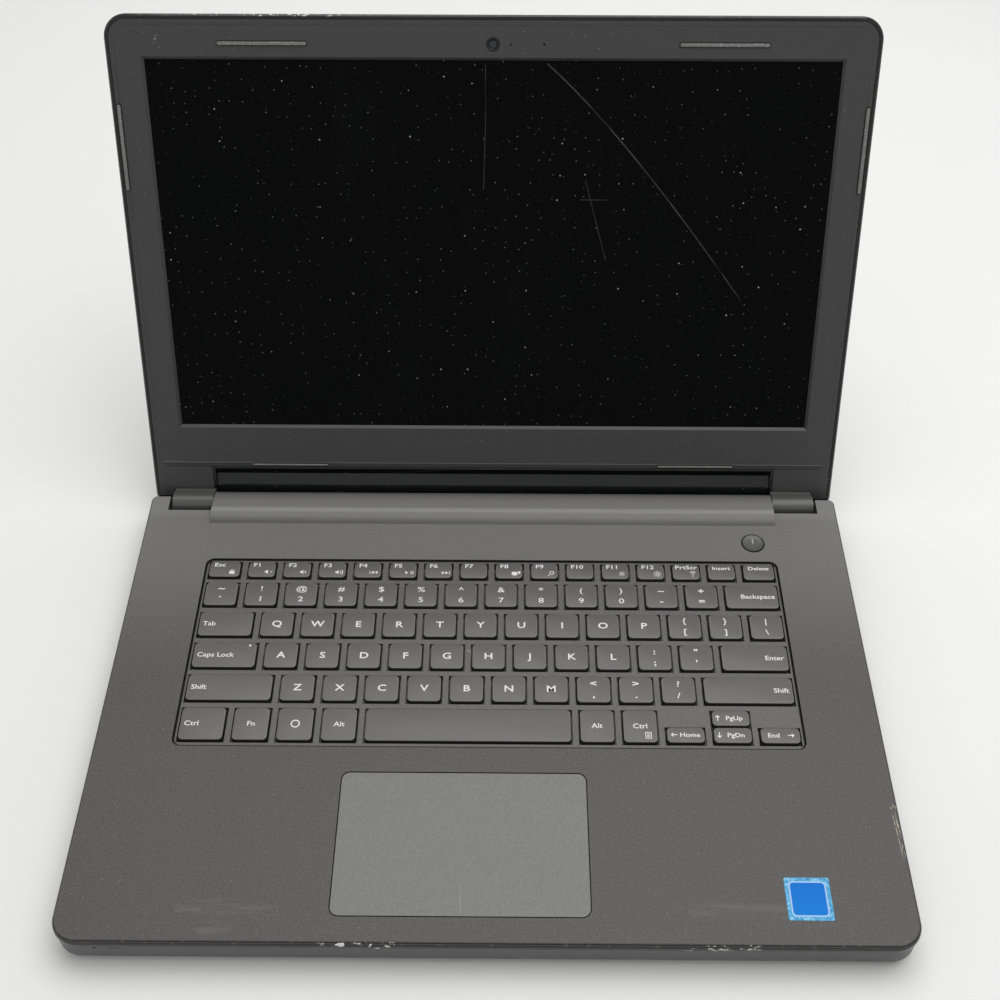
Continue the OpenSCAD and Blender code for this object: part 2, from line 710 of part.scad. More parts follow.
module memory_module() {
    color([0.12, 0.34, 0.20]) box_from([memory_at[0], memory_at[1], board_z - 2.6],
        [memory_at[0] + 25.5, memory_at[1] + 67.6, board_z - 1.4]);
    color([0.14, 0.14, 0.15]) for (i = [0:3])
        box_from([memory_at[0] + 8, memory_at[1] + 4 + i * 16, board_z - 3.6],
            [memory_at[0] + 20, memory_at[1] + 15 + i * 16, board_z - 2.6]);
}

module wireless_card() {
    color([0.62, 0.64, 0.66]) {
        box_from([-92, rear_y - 116, board_z - 1], [-65, rear_y - 86, board_z]);
        box_from([-90, rear_y - 114, board_z - 2.6], [-67, rear_y - 96, board_z - 1]);
    }
}

module coin_cell() {
    color([0.78, 0.79, 0.80]) translate([-2, rear_y - 60, board_z - 3.2]) cylinder(r = 10, h = 3.2);
}

module heat_sink() {
    pipe_y = rear_y - 79.5;
    fin_x = [-inner_w + 0.2, fan_mid[0] - fan_half - 0.4];
    color([0.72, 0.45, 0.30]) {
        box_from([-60, pipe_y - 2, board_z - 3], [-22, rear_y - 42, board_z - 0.8]);
        box_from([fin_x[0], pipe_y, board_z - 3.8], [-41, pipe_y + 3, board_z - 0.9]);
        box_from([fin_x[0], pipe_y, floor_z + 0.4], [fin_x[1], rear_y - 22, floor_z + 1]);
        for (i = [0:25]) box_from([fin_x[0], pipe_y + 4 + i * 2, floor_z + 0.9],
            [fin_x[1], pipe_y + 4.5 + i * 2, floor_z + 6.8]);
        box_from([fin_x[0], pipe_y, floor_z + 0.9], [fin_x[1], pipe_y + 3, board_z - 3.7]);
    }
}

module fan_housing() {
    low = floor_z;
    high = min(bracket_top - bracket_t - 0.3, plate_z - 0.4);
    color([0.13, 0.13, 0.14]) translate([fan_mid[0], fan_mid[1], 0]) {
        difference() {
            box_from([-fan_half, -fan_half, low], [fan_half, fan_half, high]);
            translate([0, 0, low + 0.8]) cylinder(r = fan_bore, h = high - low - 1.6);
            box_from([-fan_half - 1, -fan_bore + 4, low + 0.8], [0, fan_bore - 4, high - 0.8]);
            translate([0, 0, low - 1]) cylinder(r = 17, h = 20);
        }
        // Bars across the lower intake carry the rotor's pin
        for (a = [0, 120, 240]) rotate(a) translate([-2, 0, low]) cube([4, 19, 0.8]);
        cylinder_between(4, low, low + 0.8);
        cylinder_between(fan_pin_r, low, low + 5);
    }
}
fan_pin_r = 1;

module cylinder_between(r, z_low, z_high) {
    translate([0, 0, z_low]) cylinder(r = r, h = z_high - z_low);
}

module fan_rotor() {
    low = floor_z + 1.2;
    color([0.22, 0.22, 0.23]) translate([fan_mid[0], fan_mid[1], 0]) difference() {
        union() {
            cylinder_between(10, low, low + 4.6);
            for (i = [0:10]) rotate(i * 360 / 11) translate([9, 0, low]) rotate(24) cube([14.4, 0.9, 4]);
        }
        cylinder_between(fan_pin_r + 0.06, low - 1, low + 4);
    }
}

module hard_drive() {
    color([0.66, 0.67, 0.69]) difference() {
        translate([drive_at[0], drive_at[1], floor_z]) cube(drive_size);
        translate([drive_at[0] + 62, drive_at[1] + 35, floor_z - 0.1]) cylinder(r = 22, h = 0.5);
    }
}

module battery() {
    color([0.16, 0.16, 0.17]) difference() {
        translate([-battery_size[0] / 2, rear_y - 222, floor_z]) cube(battery_size);
        for (i = [-2:2]) box_from([i * 30 - 0.4, rear_y - 223, floor_z + battery_size[2] - 0.5],
            [i * 30 + 0.4, rear_y - 150, floor_z + 20]);
    }
}

module speaker(s) {
    color([0.14, 0.14, 0.14]) on_side(s) {
        box_from([96, rear_y - 226, floor_z], [140, rear_y - 200, floor_z + 5]);
        translate([108, rear_y - 213, floor_z + 5]) cylinder(r = 9, h = 1);
        box_from([122, rear_y - 222, floor_z + 5], [136, rear_y - 204, floor_z + 5.6]);
    }
}

module left_speaker() { speaker(-1); }
module right_speaker() { speaker(1); }

// ---- Hinges ----

// Fixed in the base: an eye for the shaft, and a plate that the palm rest's post bears on
module hinge_bracket(s) {
    color([0.56, 0.57, 0.59]) on_side(s) difference() {
        union() {
            translate([spine_x - 18.5, axis_y, axis_z]) rotate([0, 90, 0]) cylinder(r = eye_r, h = 15);
            box_from([spine_x - 18.5, rear_y - 30, axis_z - eye_r], [spine_x - 3.5, axis_y, bracket_top]);
        }
        translate([spine_x - 19.5, axis_y, axis_z]) rotate([0, 90, 0])
            cylinder(r = shaft_r + running_gap, h = 17);
    }
}

module left_hinge_bracket() { hinge_bracket(-1); }
module right_hinge_bracket() { hinge_bracket(1); }

// The arm's web stands in the cap, and its plate lies between the bezel and the cover
web_x = [cap_x + 4.9, cap_x + 16.9];
arm_z = [panel_z + 1.1, panel_z + 2.6];
strip_x = [lid_hw - 13, lid_hw - 6];
arm_screws = [[cap_x + 9, -26], [lid_hw - 9.5, -100]];

module hinge_arm(s) {
    color([0.58, 0.59, 0.61]) lid_pose() on_side(s) difference() {
        union() {
            translate([web_x[0], 0, 0]) rotate([0, 90, 0])
                cylinder(r = shaft_r + 0.35, h = web_x[1] - web_x[0]);
            translate([spine_x - 21.5, 0, 0]) rotate([0, 90, 0])
                cylinder(r = shaft_r, h = web_x[1] - spine_x + 21.5);
            box_from([web_x[0], -2.3, 0], [web_x[1], -0.3, arm_z[1]]);
            box_from([cap_x + 3, -34, arm_z[0]], [strip_x[1], -0.3, arm_z[1]]);
            box_from([strip_x[0], -120, arm_z[0]], [strip_x[1], -33, arm_z[1]]);
        }
        for (p = arm_screws) translate([p[0], p[1], 0]) cylinder(r = screw_r, h = 20);
    }
}

module left_hinge_arm() { hinge_arm(-1); }
module right_hinge_arm() { hinge_arm(1); }

// A cap's profile: round behind and below, flat in front, and open upwards into the lid
module cap_outer() {
    difference() {
        union() {
            translate(cap_mid) circle(cap_r);
            polygon([[-4.98, border_z], [-3.17, -3.29], cap_mid, [5.57, border_z]]);
        }
        translate([-20, border_z]) square([20 + cover_end + 0.3, 10]);
    }
}

module cap_inner() {
    translate(cap_mid) circle(cap_r - cap_wall);
    polygon([[-3.80, border_z + 0.3], [-1.99, -3.05], cap_mid, [cover_end + 0.6, border_z + 0.3]]);
}

module hinge_cap(s) {
    color([0.12, 0.12, 0.12]) lid_pose() on_side(s) difference() {
        lid_profile(cap_x, cap_x + cap_len) cap_outer();
        lid_profile(cap_x + cap_wall, cap_x + cap_len - cap_wall) cap_inner();
        translate([cap_x - 1, 0, 0]) rotate([0, 90, 0]) cylinder(r = shaft_r + fit_gap, h = cap_wall + 2);
    }
}

module left_hinge_cap() { hinge_cap(-1); }
module right_hinge_cap() { hinge_cap(1); }

// ---- Lid ----

cover_steps = [[face_z + 0.5, 0.7], [face_z + 1.3, 0], [back_z - 2.2, 0.2], [back_z - 0.8, 0.9], [back_z, 2.6]];

module cover_slab() {
    edged_slab(lid_hw, -lid_len, cover_end, lid_r, rear_r, cover_steps);
}

module lid_cover() {
    rear_wall = 1.5;
    color([0.07, 0.07, 0.07]) lid_pose() difference() {
        union() {
            difference() {
                cover_slab();
                linear_extrude(cover_in_z) outline(lid_hw - cover_edge, cover_edge - lid_len,
                    cover_end - rear_wall, lid_r - cover_edge, rear_r - 1);
            }
            intersection() {
                cover_slab();
                box_from([-leg_x, -lip_end - 1.2, 0], [leg_x, 10, 20]);
            }
            both_sides() for (p = arm_screws) translate([p[0], p[1], arm_z[1]])
                cylinder(r = 2.4, h = cover_in_z - arm_z[1] + 0.1);
        }
        // The channel that the spine and its ridge lie in
        lid_profile(-leg_x + 1.2, leg_x - 1.2) {
            circle(spine_r + 0.8);
            polygon([[-lip_end, 4], [-lip_end, 7], [-12.5, 8.6], [-2, 7.2], [0, spine_r + 0.8], [0, 0]]);
        }
        box_from([-leg_x - 1, -lip_end, 0], [leg_x + 1, 0, border_z + 0.2]);
        both_sides() for (p = arm_screws) translate([p[0], p[1], arm_z[0]])
            cylinder(r = screw_r - 0.2, h = back_z - 0.8 - arm_z[0]);
    }
}

// A rectangular hole whose sides slope at 45 degrees down to the picture
module picture_hole() {
    slope = 1.2;
    mid_y = -screen_rise - open_h / 2;
    intersection() {
        translate([0, 50, 0]) rotate([90, 0, 0]) linear_extrude(400) hole_profile(open_w / 2, slope);
        translate([-300, mid_y, 0]) rotate([90, 0, 90]) linear_extrude(600) hole_profile(open_h / 2, slope);
    }
}

module hole_profile(half, slope) {
    polygon([[-half - slope - 1, face_z - 1], [half + slope + 1, face_z - 1],
        [half, face_z + slope], [half, panel_z + 1], [-half, panel_z + 1], [-half, face_z + slope]]);
}

module screen_bezel() {
    edge = cover_edge + 0.2;
    color([0.17, 0.17, 0.17]) lid_pose() difference() {
        union() {
            translate([0, 0, border_z]) linear_extrude(panel_z - border_z)
                outline(lid_hw - edge, edge - lid_len, -leg_end, lid_r - edge, 1);
            translate([0, 0, face_z]) linear_extrude(bezel_lip + 0.1)
                outline(lid_hw - edge - bezel_border, edge + bezel_border - lid_len, -lip_end - 2.9,
                    lid_r - edge - bezel_border, 1);
        }
        // Between the legs, and behind each cap
        box_from([-leg_x - 0.2, -lip_end - 1.4, 0], [leg_x + 0.2, 10, 20]);
        both_sides() box_from([0, -5.2, 0], [cap_x + cap_len + 0.6, 10, 20]);
        picture_hole();
        translate([0, -camera_y, 0]) cylinder(r = camera_r + 0.2, h = 20);
        translate([light_u, -camera_y, 0]) cylinder(r = 0.6, h = 20);
        translate([mic_u, -camera_y, 0]) cylinder(r = 0.6, h = 20);
    }
}
camera_y = screen_rise + open_h + 6.9;
light_u = 7.9;
mic_u = 22.6;

module lcd_panel() {
    side = open_w / 2 + 2.4;
    low = screen_rise - 3;
    high = screen_rise + open_h + 2.8;
    color([0.05, 0.05, 0.06]) lid_pose() difference() {
        box_from([-side, -high, panel_z], [side, -low, panel_z + panel_t]);
        box_from([-side + 4, -high + 4, panel_z + panel_t - 0.3], [side - 4, -low - 24, 30]);
    }
}

module camera_module() {
    color([0.08, 0.08, 0.09]) lid_pose() translate([0, -camera_y, 0]) difference() {
        union() {
            box_from([-32, -2.6, panel_z], [32, 2.6, panel_z + 1.5]);
            cylinder_between(camera_r, face_z + 0.1, panel_z + 0.1);
            translate([light_u, 0, 0]) cylinder_between(0.55, face_z + 0.2, panel_z + 0.1);
        }
        translate([0, 0, face_z]) cylinder(r1 = camera_r - 0.5, r2 = 1, h = 0.9);
        translate([mic_u, 0, 0]) cylinder_between(0.4, face_z, panel_z + 1);
    }
}

// Strips that the closed lid rests on
module bezel_bumpers() {
    proud = face_z - 0.7;
    side_x = lid_hw - cover_edge - 0.3;
    color([0.09, 0.09, 0.09]) lid_pose() both_sides() {
        box_from([82, -camera_y - 1.3, proud], [122.5, -camera_y + 1.2, face_z]);
        box_from([side_x - 1.6, -196, proud], [side_x, -156.5, border_z]);
        box_from([82.5, -lip_end - 4.9, proud], [121.5, -lip_end - 3, face_z]);
    }
}

module lid_screws() {
    color([0.45, 0.46, 0.48]) lid_pose() both_sides() for (p = arm_screws) translate([p[0], p[1], 0]) {
        cylinder_between(2, arm_z[0] - 0.8, arm_z[0]);
        cylinder_between(screw_r - 0.25, arm_z[0] - 0.1, back_z - 0.9);
    }
}

// A flat cable on the panel's back, led across to the left hinge
module display_cable() {
    z = panel_z + panel_t;
    color([0.30, 0.22, 0.12]) lid_pose() {
        box_from([-96, -80, z], [-84, -24, z + 0.4]);
        box_from([-140, -33, z], [-84, -24, z + 0.4]);
    }
}

palm_rest();
bottom_case();
service_door();
rubber_feet();
base_screws();
keyboard_frame();
keyboard_plate();
dome_sheet();
function_keys();
number_keys();
upper_letter_keys();
home_letter_keys();
lower_letter_keys();
modifier_keys();
tab_key();
caps_lock_key();
left_shift_key();
right_shift_key();
enter_key();
backspace_key();
space_bar();
left_arrow_key();
up_arrow_key();
down_arrow_key();
right_arrow_key();
touchpad();
touchpad_bracket();
power_button();
processor_label();
status_light();
motherboard();
heat_sink();
fan_housing();
fan_rotor();
memory_module();
wireless_card();
coin_cell();
hard_drive();
battery();
left_speaker();
right_speaker();
power_jack();
network_port();
usb_ports();
video_port();
headset_jack();
card_reader();
left_hinge_bracket();
right_hinge_bracket();
left_hinge_arm();
right_hinge_arm();
left_hinge_cap();
right_hinge_cap();
lid_cover();
screen_bezel();
lcd_panel();
camera_module();
bezel_bumpers();
lid_screws();
display_cable();
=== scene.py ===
# %% [markdown]
# # A worn laptop, open on a table
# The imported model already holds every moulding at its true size, so this lesson only adds what the
# eye looks for: finishes with dust and scuffs in them, soft key caps with printed legends, the power
# button, rubber strips and feet, a camera lens and the contacts inside the ports.

# %% Load the frame
import json
import math
import random

import bpy
from mathutils import Matrix, Vector


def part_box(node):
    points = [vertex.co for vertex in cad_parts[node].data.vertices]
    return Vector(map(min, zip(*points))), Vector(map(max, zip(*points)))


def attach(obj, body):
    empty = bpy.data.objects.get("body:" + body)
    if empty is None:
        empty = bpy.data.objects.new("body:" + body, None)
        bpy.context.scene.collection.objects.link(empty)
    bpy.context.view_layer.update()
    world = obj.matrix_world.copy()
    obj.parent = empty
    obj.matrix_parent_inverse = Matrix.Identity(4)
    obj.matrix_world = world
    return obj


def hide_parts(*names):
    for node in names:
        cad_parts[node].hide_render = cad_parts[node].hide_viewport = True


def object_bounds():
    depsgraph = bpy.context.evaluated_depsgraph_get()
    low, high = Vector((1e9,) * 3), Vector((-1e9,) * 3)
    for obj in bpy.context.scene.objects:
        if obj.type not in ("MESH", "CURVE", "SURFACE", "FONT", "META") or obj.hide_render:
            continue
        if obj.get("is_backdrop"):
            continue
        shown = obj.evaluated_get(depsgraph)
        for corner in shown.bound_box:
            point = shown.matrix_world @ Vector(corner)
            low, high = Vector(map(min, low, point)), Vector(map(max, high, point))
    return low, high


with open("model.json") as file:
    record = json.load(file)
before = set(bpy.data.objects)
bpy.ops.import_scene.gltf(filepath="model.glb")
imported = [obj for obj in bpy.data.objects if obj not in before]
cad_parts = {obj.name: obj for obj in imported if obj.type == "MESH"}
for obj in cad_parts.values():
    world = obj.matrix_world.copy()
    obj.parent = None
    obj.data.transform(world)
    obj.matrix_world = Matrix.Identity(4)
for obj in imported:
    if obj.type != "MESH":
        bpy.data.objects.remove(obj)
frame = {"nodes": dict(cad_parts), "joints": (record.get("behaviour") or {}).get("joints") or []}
cad_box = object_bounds()
cad_nodes = frame["nodes"]
MM = 0.001
chance = random.Random(14)
print("CAD nodes:", len(cad_nodes), "box:", [round(v, 4) for v in (*cad_box[0], *cad_box[1])])

# %% [markdown]
# ## The camera
# A product picture of an open laptop is taken from above the front edge, so that the keyboard and
# the screen are both seen. The camera stands half a metre up and looks down at 48 degrees, with a
# lens a little longer than normal, which keeps the edges from splaying.

# %% Camera
EYE = Vector((7.35, -341.0, 529.73)) * MM
TILT_DOWN = math.radians(48.266)
TURN = math.radians(-0.451)
SENSOR_MM = 36.0
LENS_MM = 48.9
NEAREST = 10 * MM
along_table = math.cos(TILT_DOWN)
gaze = Vector((math.sin(TURN) * along_table, math.cos(TURN) * along_table, -math.sin(TILT_DOWN)))
bpy.ops.object.camera_add(location=EYE, rotation=gaze.to_track_quat("-Z", "Y").to_euler())
camera = bpy.context.object
camera.data.sensor_width = SENSOR_MM
camera.data.lens = LENS_MM
camera.data.clip_start = NEAREST
bpy.context.scene.camera = camera
print("camera at", tuple(round(v, 4) for v in camera.location))

# %% [markdown]
# ## Two places to measure from
# Everything on the base is placed from the rear edge of the palm rest and the level of its deck, as
# a keyboard is in a drawing. The lid's pieces are drawn as if the lid were closed, with the hinge
# axis as the origin, and one matrix carries them to where the lid stands open. The axis and the
# angle are the joint's own, from the record.

# %% The base's rear edge and the lid's matrix
hinge = next(joint for joint in frame["joints"] if joint["name"] == "lid_hinge")
AXIS = Vector(hinge["pos_m"])
OPEN = -math.radians(hinge["range_deg"][0])
LID = Matrix.Translation(AXIS) @ Matrix.Rotation(-OPEN, 4, "X")
REAR_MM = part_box("palm_rest")[1].y / MM
DECK_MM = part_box("processor_label")[0].z / MM
print("hinge axis at", tuple(round(v, 5) for v in AXIS), "deck at", round(DECK_MM, 2), "mm")


# %% [markdown]
# ## Shader arithmetic
# A pattern is easier to read as a sum than as a web of nodes. `Signal` wraps one socket, and
# Python's operators on it add Math nodes; `Finish` is a material that makes any other node in one
# call. Both orders of each operator are there, so that `1 - mask` works too. A finish begins as one
# colour and one roughness, and each `coat` lays another over it where a mask is 1.

# %% Signal
class Signal:
    """One socket of a material, on which arithmetic adds Math nodes."""

    def __init__(self, finish, socket):
        self.finish = finish
        self.socket = socket

    def math(self, operation, *others, first=None):
        values = [self if first is None else first, *others]
        return self.finish.node("Math", {"operation": operation}, dict(enumerate(values)))

    def __add__(self, other):
        return self.math("ADD", other)

    __radd__ = __add__

    def __sub__(self, other):
        return self.math("SUBTRACT", other)

    def __rsub__(self, other):
        return self.math("SUBTRACT", self, first=other)

    def __mul__(self, other):
        return self.math("MULTIPLY", other)

    __rmul__ = __mul__

    def __truediv__(self, other):
        return self.math("DIVIDE", other)

    def at_least(self, other):
        return self.math("MAXIMUM", other)

    def at_most(self, other):
        return self.math("MINIMUM", other)

    def size(self):
        return self.math("ABSOLUTE")

    def ramp(self, low, high, start=0.0, end=1.0):
        """start at low, end at high, and smooth in between."""
        return self.finish.node(
            "MapRange", {"interpolation_type": "SMOOTHSTEP", "clamp": True},
            {"Value": self, "From Min": low, "From Max": high, "To Min": start, "To Max": end},
        )

    def band(self, low, high, soft):
        """1 between low and high, and 0 outside."""
        return self.ramp(low - soft, low + soft) * self.ramp(high + soft, high - soft)


def paint(red, green, blue):
    """The colour that a screen shows as these three numbers, as the shader wants it."""
    return tuple(((level / 255 + 0.055) / 1.055) ** 2.4 for level in (red, green, blue))


print("a mid grey is", round(paint(128, 128, 128)[0], 3), "to the shader")

# %% Finish, a material in coats
class Nodes:
    """A node tree, and one method that adds any node to it."""

    def __init__(self, tree):
        self.tree = tree

    def node(self, kind, settings=None, values=None, out=0):
        made = self.tree.nodes.new("ShaderNode" + kind)
        for key, value in (settings or {}).items():
            setattr(made, key, value)
        for key, value in (values or {}).items():
            self.feed(made.inputs[key], value)
        return Signal(self, made.outputs[out])

    def feed(self, socket, value):
        if isinstance(value, Signal):
            self.tree.links.new(value.socket, socket)
        elif socket.type == "RGBA":
            socket.default_value = (*value[:3], 1.0)
        else:
            socket.default_value = value


class Finish(Nodes):
    """A material that is built up in coats."""

    def __init__(self, name, colour, rough, metallic=0.0, specular=0.5):
        self.material = bpy.data.materials.new(name)
        self.material.use_nodes = True
        super().__init__(self.material.node_tree)
        self.shader = self.tree.nodes["Principled BSDF"]
        self.shader.inputs["Metallic"].default_value = metallic
        self.shader.inputs["Specular IOR Level"].default_value = specular
        self.colour = colour
        self.rough = rough
        self.place = self.scaled(self.node("TexCoord", out="Object"), 1 / MM)

    def vector(self, operation, first, second=(0, 0, 0), out=0):
        return self.node("VectorMath", {"operation": operation}, {0: first, 1: second}, out)

    def scaled(self, first, by):
        return self.node("VectorMath", {"operation": "SCALE"}, {0: first, 3: by})

    def stretched(self, at, by):
        return self.vector("MULTIPLY", at, by)

    def on_lid(self):
        """Millimetres across the lid, up from the hinge and through its thickness."""
        pivot = {"Vector": self.place, "Center": AXIS / MM, "Angle": OPEN}
        turned = self.node("VectorRotate", {"rotation_type": "X_AXIS"}, pivot)
        return self.stretched(self.vector("SUBTRACT", turned, AXIS / MM), (1, -1, 1))

    def parts(self, at):
        return [self.node("SeparateXYZ", {}, {"Vector": at}, axis) for axis in range(3)]

    def from_middle(self, low, high):
        """Millimetres from the middle of a box, along each axis."""
        return self.parts(self.vector("SUBTRACT", self.place, (low + high) / 2 / MM))

    def radius(self, x, y):
        """How far a point of a flat face is from where x and y are both zero."""
        return self.vector("LENGTH", self.node("CombineXYZ", {}, {"X": x, "Y": y}), out="Value")

    def out_of_box(self, x, y, half_x, half_y, corner):
        """How far a point is outside a rounded rectangle, in mm, and below zero inside it."""
        over_x = (x.size() - (half_x - corner)).at_least(0.0)
        over_y = (y.size() - (half_y - corner)).at_least(0.0)
        return self.radius(over_x, over_y) - corner

    def noise(self, at, size_mm, detail=3.0, rough=0.55):
        values = {"Vector": at, "Scale": 1 / size_mm, "Detail": detail, "Roughness": rough}
        return self.node("TexNoise", {}, values)

    def specks(self, at, spacing_mm, radius_mm, share):
        """Round spots of several sizes on a flat face, in some of the cells that it is cut into."""
        cells = {"Vector": at, "Scale": 1 / spacing_mm, "Randomness": 1.0}
        near, lot = (self.node("TexVoronoi", {"voronoi_dimensions": "2D"}, cells, out)
                     for out in ("Distance", "Color"))
        chosen, sized = (self.node("SeparateColor", {}, {"Color": lot}, channel) for channel in (0, 1))
        edge = (sized * 0.8 + 0.2) * (radius_mm / spacing_mm)
        return (near / edge).ramp(1.0, 0.5) * chosen.ramp(share, share - 0.02)

    def line(self, at, start, end, half_width):
        """A scratch between two points of a flat face."""
        run = Vector((end[0] - start[0], end[1] - start[1], 0.0))
        offset = self.vector("SUBTRACT", self.stretched(at, (1, 1, 0)), (*start, 0.0))
        along = self.vector("DOT_PRODUCT", offset, run.normalized(), "Value")
        foot = self.scaled(run.normalized(), along.at_least(0.0).at_most(run.length))
        gap = self.vector("DISTANCE", offset, foot, "Value")
        return gap.ramp(half_width, half_width * 0.2)

    def lines(self, at, ends, half_width):
        """Several scratches as one mask."""
        total, *others = [self.line(at, start, end, half_width) for start, end in ends]
        for mark in others:
            total = total.at_least(mark)
        return total

    def blend(self, share, first, second):
        """The first colour where share is 0, the second where it is 1."""
        return self.node("Mix", {"data_type": "RGBA"}, {0: share, 6: first, 7: second}, 2)

    def coat(self, mask, colour=None, rough=None):
        if colour is not None:
            self.colour = self.blend(mask, self.colour, colour)
        if rough is not None:
            self.rough = mask * (rough - self.rough) + self.rough

    def mottle(self, pattern, amount):
        """Makes the colour lighter and darker with a pattern, by up to this share."""
        self.colour = self.scaled(self.colour, (pattern - 0.5) * (2 * amount) + 1)

    def done(self, height=None, depth_mm=0.0):
        """Feeds the shader and gives the material."""
        self.feed(self.shader.inputs["Base Color"], self.colour)
        self.feed(self.shader.inputs["Roughness"], self.rough)
        if height is not None:
            bump = self.node("Bump", {}, {"Height": height, "Distance": depth_mm * MM})
            self.feed(self.shader.inputs["Normal"], bump)
        return self.material


print("finish helper ready")

# %% [markdown]
# ## Moulded black plastic
# Nearly all of a laptop is ABS or polycarbonate, moulded against a steel tool whose face was
# etched. The etching is what makes the palm rest look like very fine sand, so the grain goes into
# the bump, the colour and the gloss together. Clouds of skin grease and a scatter of dust lie over
# it. One function holds this recipe, and the grain's size and the dust change from part to part.

# %% A recipe for moulded plastic
CLOUD_MM = 34.0


def moulded(name, colour, rough, grain_mm, depth_mm=0.02, grain=0.12, clouds=0.08, dust=0.3,
            lid=False, specular=0.5):
    """A grained plastic with grease and dust on it, ready for coats of its own."""
    finish = Finish(name, colour, rough, specular=specular)
    finish.at = finish.on_lid() if lid else finish.place
    finish.grain = finish.noise(finish.at, grain_mm, 2.0, 0.7)
    finish.depth_mm = depth_mm
    finish.mottle(finish.grain, grain)
    cloud = finish.noise(finish.at, CLOUD_MM, 4.0, 0.6)
    finish.mottle(cloud, clouds)
    finish.rough = cloud * 0.12 + (rough - 0.06)
    finish.coat(finish.specks(finish.at, 6.5, 0.3, dust) * 0.55, paint(165, 165, 160), 0.8)
    finish.coat(finish.specks(finish.at, 2.6, 0.14, dust) * 0.5, paint(140, 140, 136), 0.8)
    return finish


def cover(material, *nodes):
    """Gives the surfaces of CAD nodes this material."""
    for node in nodes:
        for slot in cad_nodes[node].material_slots:
            slot.material = material


def grained(finish, *nodes):
    """Ends a moulded finish with its own grain as the bump, and covers CAD nodes with it."""
    made = finish.done(finish.grain, finish.depth_mm)
    cover(made, *nodes)
    return made


print("recipe for moulded plastic ready")

# %% [markdown]
# ## The palm rest
# The flat top has the matt grain, with a pale film, partly dust and partly painted light, that makes
# it lighter towards the screen. Its rounded rim was left polished, so below the rim's bend the
# roughness drops; a painted highlight runs along the bend, and the walls below the deck are painted
# darker as shade. Where the rim has been knocked the black has chipped off and leaves bright marks,
# which also stand for painted glints of light. Years of wrists have left greasy smears beside the
# touchpad, and a desk edge has rubbed the right side to a yellowish scuff. The foot of the ridge is
# painted in shade, the same pale film of dust and painted light lies over the ridge's back, and its
# crest carries a painted highlight.

# %% Palm rest finish
def back_of(y):
    """Millimetres behind the base's rear edge, below zero in front of it, as a y of the model."""
    return REAR_MM + y


def strokes(*rows, rear=0.0):
    """Lines given as x, y, x, y, with each y counted from rear."""
    return [((x0, rear + y0), (x1, rear + y1)) for x0, y0, x1, y1 in rows]


shell = moulded("shell_black", paint(78, 77, 75), 0.5, 0.9, grain=0.75, dust=0.34, specular=0.4)
x, y, z = shell.parts(shell.place)
smears = strokes((83.6, -224.4, 118.0, -224.4), (-121.2, -224.5, -83.9, -224.5),
                 (-112.0, -233.0, -103.0, -233.2), rear=REAR_MM)
SMEAR_HALF_MM = 4.5
streaks = shell.noise(shell.stretched(shell.place, (0.12, 1, 1)), 2.5).ramp(0.35, 0.7)
shell.coat(shell.lines(shell.place, smears, SMEAR_HALF_MM) * streaks * 0.14, paint(150, 150, 145), 0.6)

SCUFF_X = 169.2
SCUFF_STEP = 0.5
SCUFF_LEAN = 0.6
SCUFF_HALF_MM = 0.26
scuff_ends = ((-178, -190), (-188, -203), (-176, -197), (-180, -201), (-177, -194))
scuff_xs = [SCUFF_X + SCUFF_STEP * i for i in range(len(scuff_ends))]
scuffs = strokes(*[(x0, start, x0 + SCUFF_LEAN, end) for x0, (start, end) in zip(scuff_xs, scuff_ends)],
                 rear=REAR_MM)
broken = shell.noise(shell.stretched(shell.place, (1.0, 0.3, 1.0)), 0.8, 4.0).ramp(0.46, 0.56)
scuffed = shell.lines(shell.place, scuffs, SCUFF_HALF_MM) * broken
shell.coat(scuffed * 0.8, paint(196, 186, 164), 0.7)

# painted light, partly dust: a pale film that makes the top lighter towards the screen and over the ridge
far_dust_and_painted_light = y.ramp(back_of(-120.0), back_of(-20.0)) * 0.27
ridge_dust_and_painted_light = y.ramp(back_of(-20.0), back_of(-16.0)) * 0.1
shell.coat(far_dust_and_painted_light + ridge_dust_and_painted_light, paint(165, 165, 162), 0.55)
rise = z - DECK_MM
# painted shade along the foot of the ridge
shell.coat(rise.ramp(0.02, 0.15) * rise.ramp(1.7, 0.3) * 0.65, paint(50, 50, 49), 0.6)
# painted highlight along the ridge's crest
crest_highlight = rise.ramp(2.0, 2.12) * y.ramp(back_of(-9.5), back_of(-11.0))
shell.coat(crest_highlight * 0.3, paint(176, 176, 173), 0.4)
print("top of the palm rest done, with", len(smears), "smears and", len(scuffs), "scuff lines")

# %% The palm rest's rim
half_width = cad_box[1].x / MM
below = z.ramp(DECK_MM - 0.1, DECK_MM - 0.35)
# painted shade on the palm rest's walls below the deck, in its recesses
shell.coat(below, paint(42, 42, 42), 0.55)
outer = x.size().ramp(half_width - 6, half_width - 5) + y.ramp(back_of(-229.0), back_of(-230.0))
rim = below * outer.at_most(1.0)
shell.coat(rim, paint(7, 7, 8), 0.1)
# painted highlight along the rim's bend
shell.coat(rim * z.band(DECK_MM - 0.85, DECK_MM - 0.5, 0.08) * 0.5, paint(104, 104, 104), 0.3)
front = y.ramp(back_of(-233.6), back_of(-234.4))
